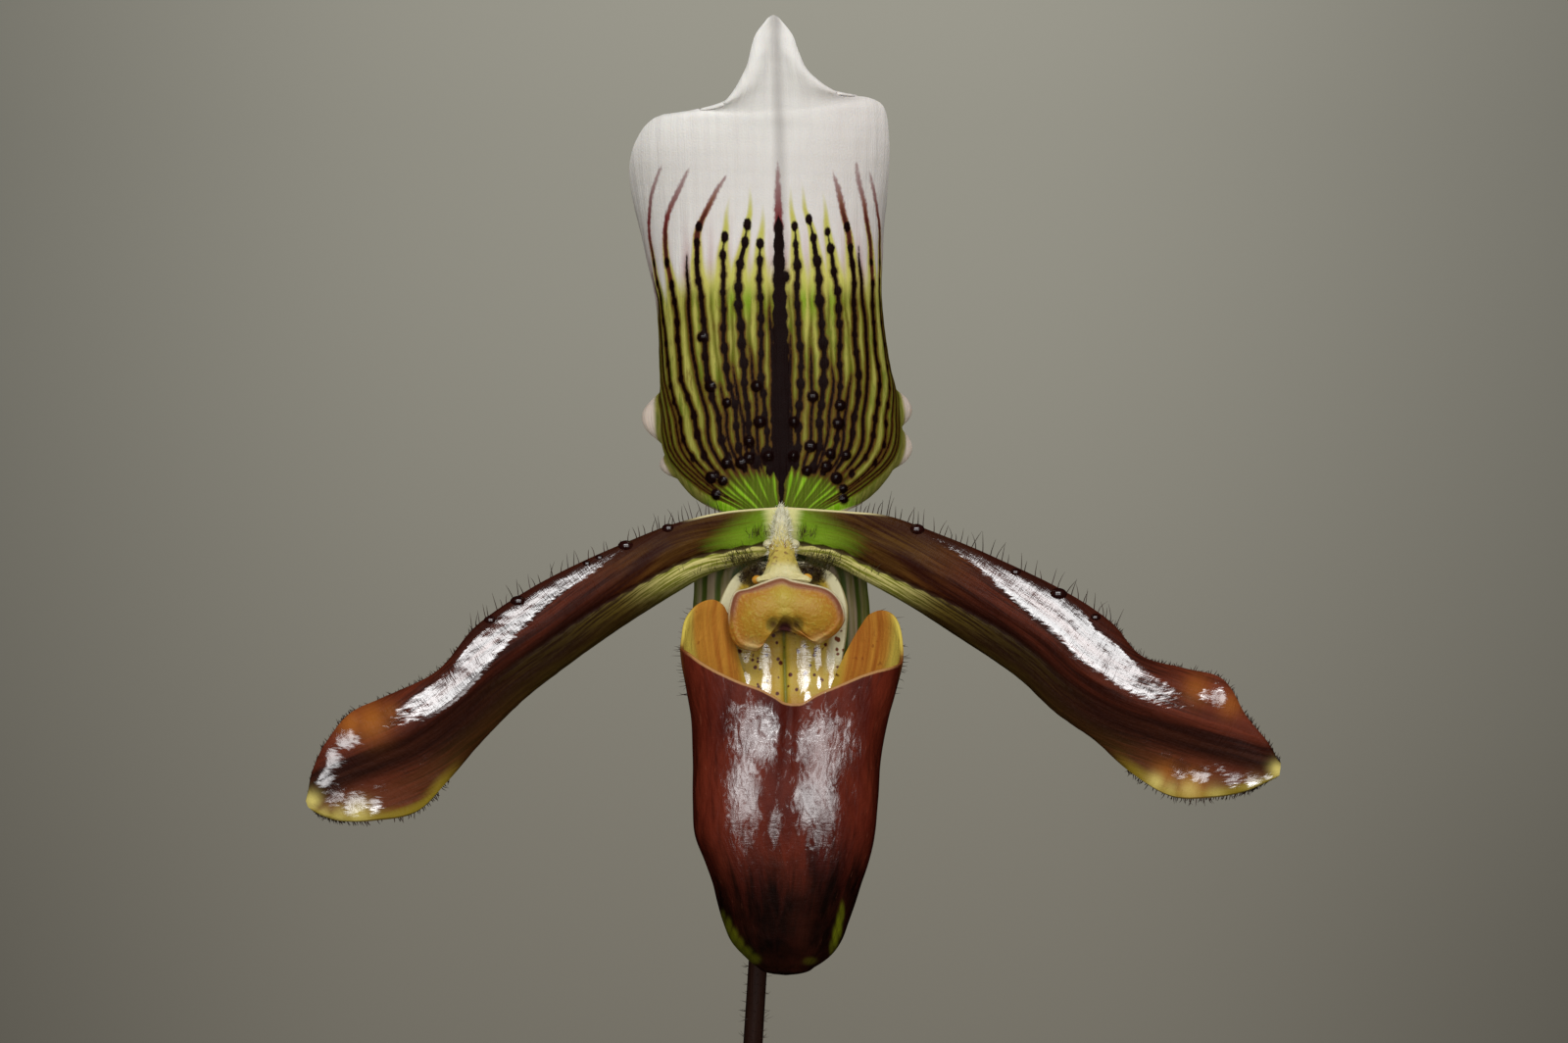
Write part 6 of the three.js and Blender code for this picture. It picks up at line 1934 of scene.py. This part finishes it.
# The stigma, the web behind it and two swellings at the column's foot.
stigma_points, stigma_faces = balls(
    FLOWER + np.array([(0.2, -6.3, -6.7), (0.2, -4.9, -4.7), (-1.35, -1.5, 0.5), (1.35, -1.5, 0.5)]),
    np.array([(2.6, 1.6, 1.0), (1.0, 1.0, 3.2), (0.75, 0.8, 0.6), (0.75, 0.8, 0.6)]),
    24,
    36,
)
stigma_fields = {"flow_u": np.zeros(len(stigma_points)), "flow_v": np.full(len(stigma_points), 4.0)}
build("stigma", stigma_points, stigma_faces, cream, "column", "column", stigma_fields)

COLUMN_HAIRS = 900
rng = np.random.default_rng(93)
rows, columns = rng.integers(0, 62, COLUMN_HAIRS), rng.integers(0, COLUMN_SIDES, COLUMN_HAIRS)
white_hair = two_tone("white_hair", (226, 222, 196), (240, 238, 224), **HAIR_SHEEN)
hairs(
    "column_hairs", white_hair, "column", "column",
    column_points[rows, columns],
    column_spokes[rows, columns] + rng.normal(0, 0.3, (COLUMN_HAIRS, 3)),
    rng.uniform(0.25, 0.55, COLUMN_HAIRS),
    0.03,
    (0, -0.1, 0.1),
    94,
)

# Tufts of dark hair at the foot of each petal, beside the column: middle, spread, lean and count.
TUFTS = [
    ((-4.2, -2.4, -1.5), (0.9, 0.4, 0.5), (-0.5, -0.3, 0.8), 190),
    ((4.6, -2.4, -1.7), (1.0, 0.4, 0.55), (0.5, -0.3, 0.8), 190),
    ((-2.6, -0.8, 1.6), (0.7, 0.2, 0.25), (-0.1, -0.1, 1.0), 34),
    ((2.7, -0.8, 1.6), (0.7, 0.2, 0.25), (0.1, -0.1, 1.0), 34),
    ((-8.6, -2.4, -2.6), (1.2, 0.2, 0.35), (-0.2, -0.6, 0.9), 14),
    ((9.2, -2.4, -2.9), (1.2, 0.2, 0.35), (0.2, -0.6, 0.9), 14),
]
rng = np.random.default_rng(97)
tuft_roots = np.concatenate(
    [middle + rng.normal(0, 1, (count, 3)) * spread for middle, spread, _, count in TUFTS]
)
tuft_ways = np.concatenate([rng.normal(0, 0.4, (count, 3)) + way for _, _, way, count in TUFTS])
tuft_lengths = rng.uniform(0.5, 1.3, len(tuft_roots))
olive_hair = two_tone("olive_hair", (30, 20, 8), (84, 76, 24), **HAIR_SHEEN)
hairs(
    "petal_foot_hairs", olive_hair, "column", "column",
    FLOWER + tuft_roots, tuft_ways, tuft_lengths, 0.035, (0, 0, 0.2), 98,
)

# Staminode: the amber shield in front of the column, domed in two cheeks round a yellow boss, with a
# mauve band inside its cream upper edge and a dark hollow above its lower notch.

SHIELD_CENTRE = np.array([0.6, -9.5, -7.0])
SHIELD_OUTLINE = [
    (-0.1, -3.1), (-2.0, -3.7), (-3.8, -4.4), (-5.3, -4.9), (-5.9, -6.5), (-6.0, -8.2), (-5.7, -9.9),
    (-5.0, -10.9), (-3.8, -11.4), (-2.7, -11.5), (-2.1, -10.8), (-1.3, -9.7), (0, -9.2), (1.7, -9.6),
    (2.8, -10.1), (4.0, -10.8), (5.0, -10.3), (6.0, -9.7), (6.8, -8.8), (7.2, -7.7), (6.9, -6.3),
    (6.2, -5.2), (5.1, -4.4), (3.2, -3.9), (1.3, -3.5),
]


def shield_piece():
    """Rings shrunk from the outline to the centre, front and back, with a rounded rim between them."""
    outline = np.array(SHIELD_OUTLINE)
    wrapped = np.vstack([outline[-2:], outline, outline[:3]])
    count = len(outline)
    at = (np.linspace(0, count, 180, endpoint=False) + 2) / (len(wrapped) - 1)
    loop = smooth_curve(wrapped, at)
    centre = SHIELD_CENTRE[[0, 2]]
    share = np.concatenate([np.linspace(0.02, 1, 60), np.linspace(1, 0.02, 14)])[:, None]
    is_front = np.concatenate([np.ones(60), np.zeros(14)])[:, None]
    x = centre[0] + (loop[None, :, 0] - centre[0]) * share
    z = centre[1] + (loop[None, :, 1] - centre[1]) * share
    reach = np.linalg.norm(loop - centre, axis=1)[None, :]
    edge = reach * (1 - share)
    bulge = 1.5 * (1 - share**2)
    cheeks = 0.45 * (patches(x, z, [(-3.0, -7.4, 2.2, 1), (4.3, -7.0, 2.2, 1)]))
    boss = 0.35 * patches(x, z, [(0.35, -5.4, 1.2, 1), (0.4, -7.2, 0.8, 0.7)])
    hollow = patches(x, z, [(0.4, -9.0, 1.35, 1), (-0.9, -8.5, 0.95, 0.75), (1.7, -8.5, 0.95, 0.75)])
    roll = 0.22 * hump(edge - 0.5, 0.35)
    front_y = SHIELD_CENTRE[1] - bulge - (cheeks + boss + roll - 0.9 * hollow) * ease(edge, 0.0, 0.6)
    back_y = SHIELD_CENTRE[1] - bulge + 0.9
    y = np.where(is_front > 0, front_y, back_y) + 0.25 * (share > 0.999) * (is_front * 2 - 1)
    top = ease(z, -9.0, -6.5)
    fields = {
        "edge": edge + 0 * z,
        "hollow": hollow,
        "boss": patches(x, z, [(0.35, -5.2, 1.6, 1), (0.4, -7.0, 0.9, 1)]),
        "crown": top,
        "lower_corner": patches(x, z, [(-3.4, -11.3, 1.0, 1), (4.4, -10.7, 0.9, 1)]),
    }
    return np.stack([x, y + 0 * z, z], axis=-1) + FLOWER, fields


def shield_amber():
    """Amber in fine clouds; yellow at the boss, mauve and cream along the crown's edge, green and then
    maroon in the hollow."""
    finish, tree = material(
        "staminode_amber",
        Specular_IOR_Level=0.22,
        Subsurface_Weight=0.08,
        Subsurface_Radius=(0.001, 0.0006, 0.0003),
    )
    edge, crown, hollow = (field(tree, name) for name in ("edge", "crown", "hollow"))
    mottle = noise(place(tree), 500, 3.0)
    grain = noise(place(tree), 2600, 2.0)
    skin = blend(mottle, (156, 108, 30), (178, 140, 46))
    skin = blend(step(edge, 2.4, 1.0) * 0.5, skin, (164, 92, 38))
    skin = blend(field(tree, "boss"), skin, (176, 152, 60))
    skin = blend(step(grain, 0.5, 0.7) * 0.35, skin, (182, 166, 70))
    mauve = step(edge, 1.15, 0.5) * crown
    skin = blend(mauve * 0.85, skin, (126, 74, 60))
    cream_edge = step(edge, 0.3, 0.1) * crown
    skin = blend(cream_edge, skin, (210, 196, 160))
    skin = blend(field(tree, "lower_corner") * 0.6, skin, (206, 192, 130))
    green = step(hollow, 0.2, 0.5)
    skin = blend(green * 0.7, skin, (94, 84, 26))
    skin = blend(step(hollow, 0.5, 0.9), skin, (52, 18, 14))
    dull = hollow * 0.5 + 0.42
    return dressed(finish, Base_Color=skin, Roughness=dull, Normal=bump(grain, 0.0002, 0.6))


shield_points, shield_fields = shield_piece()
shield_faces = capped(*shield_points.shape[:2])
shield = shield_amber()
build("staminode", shield_points, shield_faces, shield, "staminode", "staminode", shield_fields, crease=60)
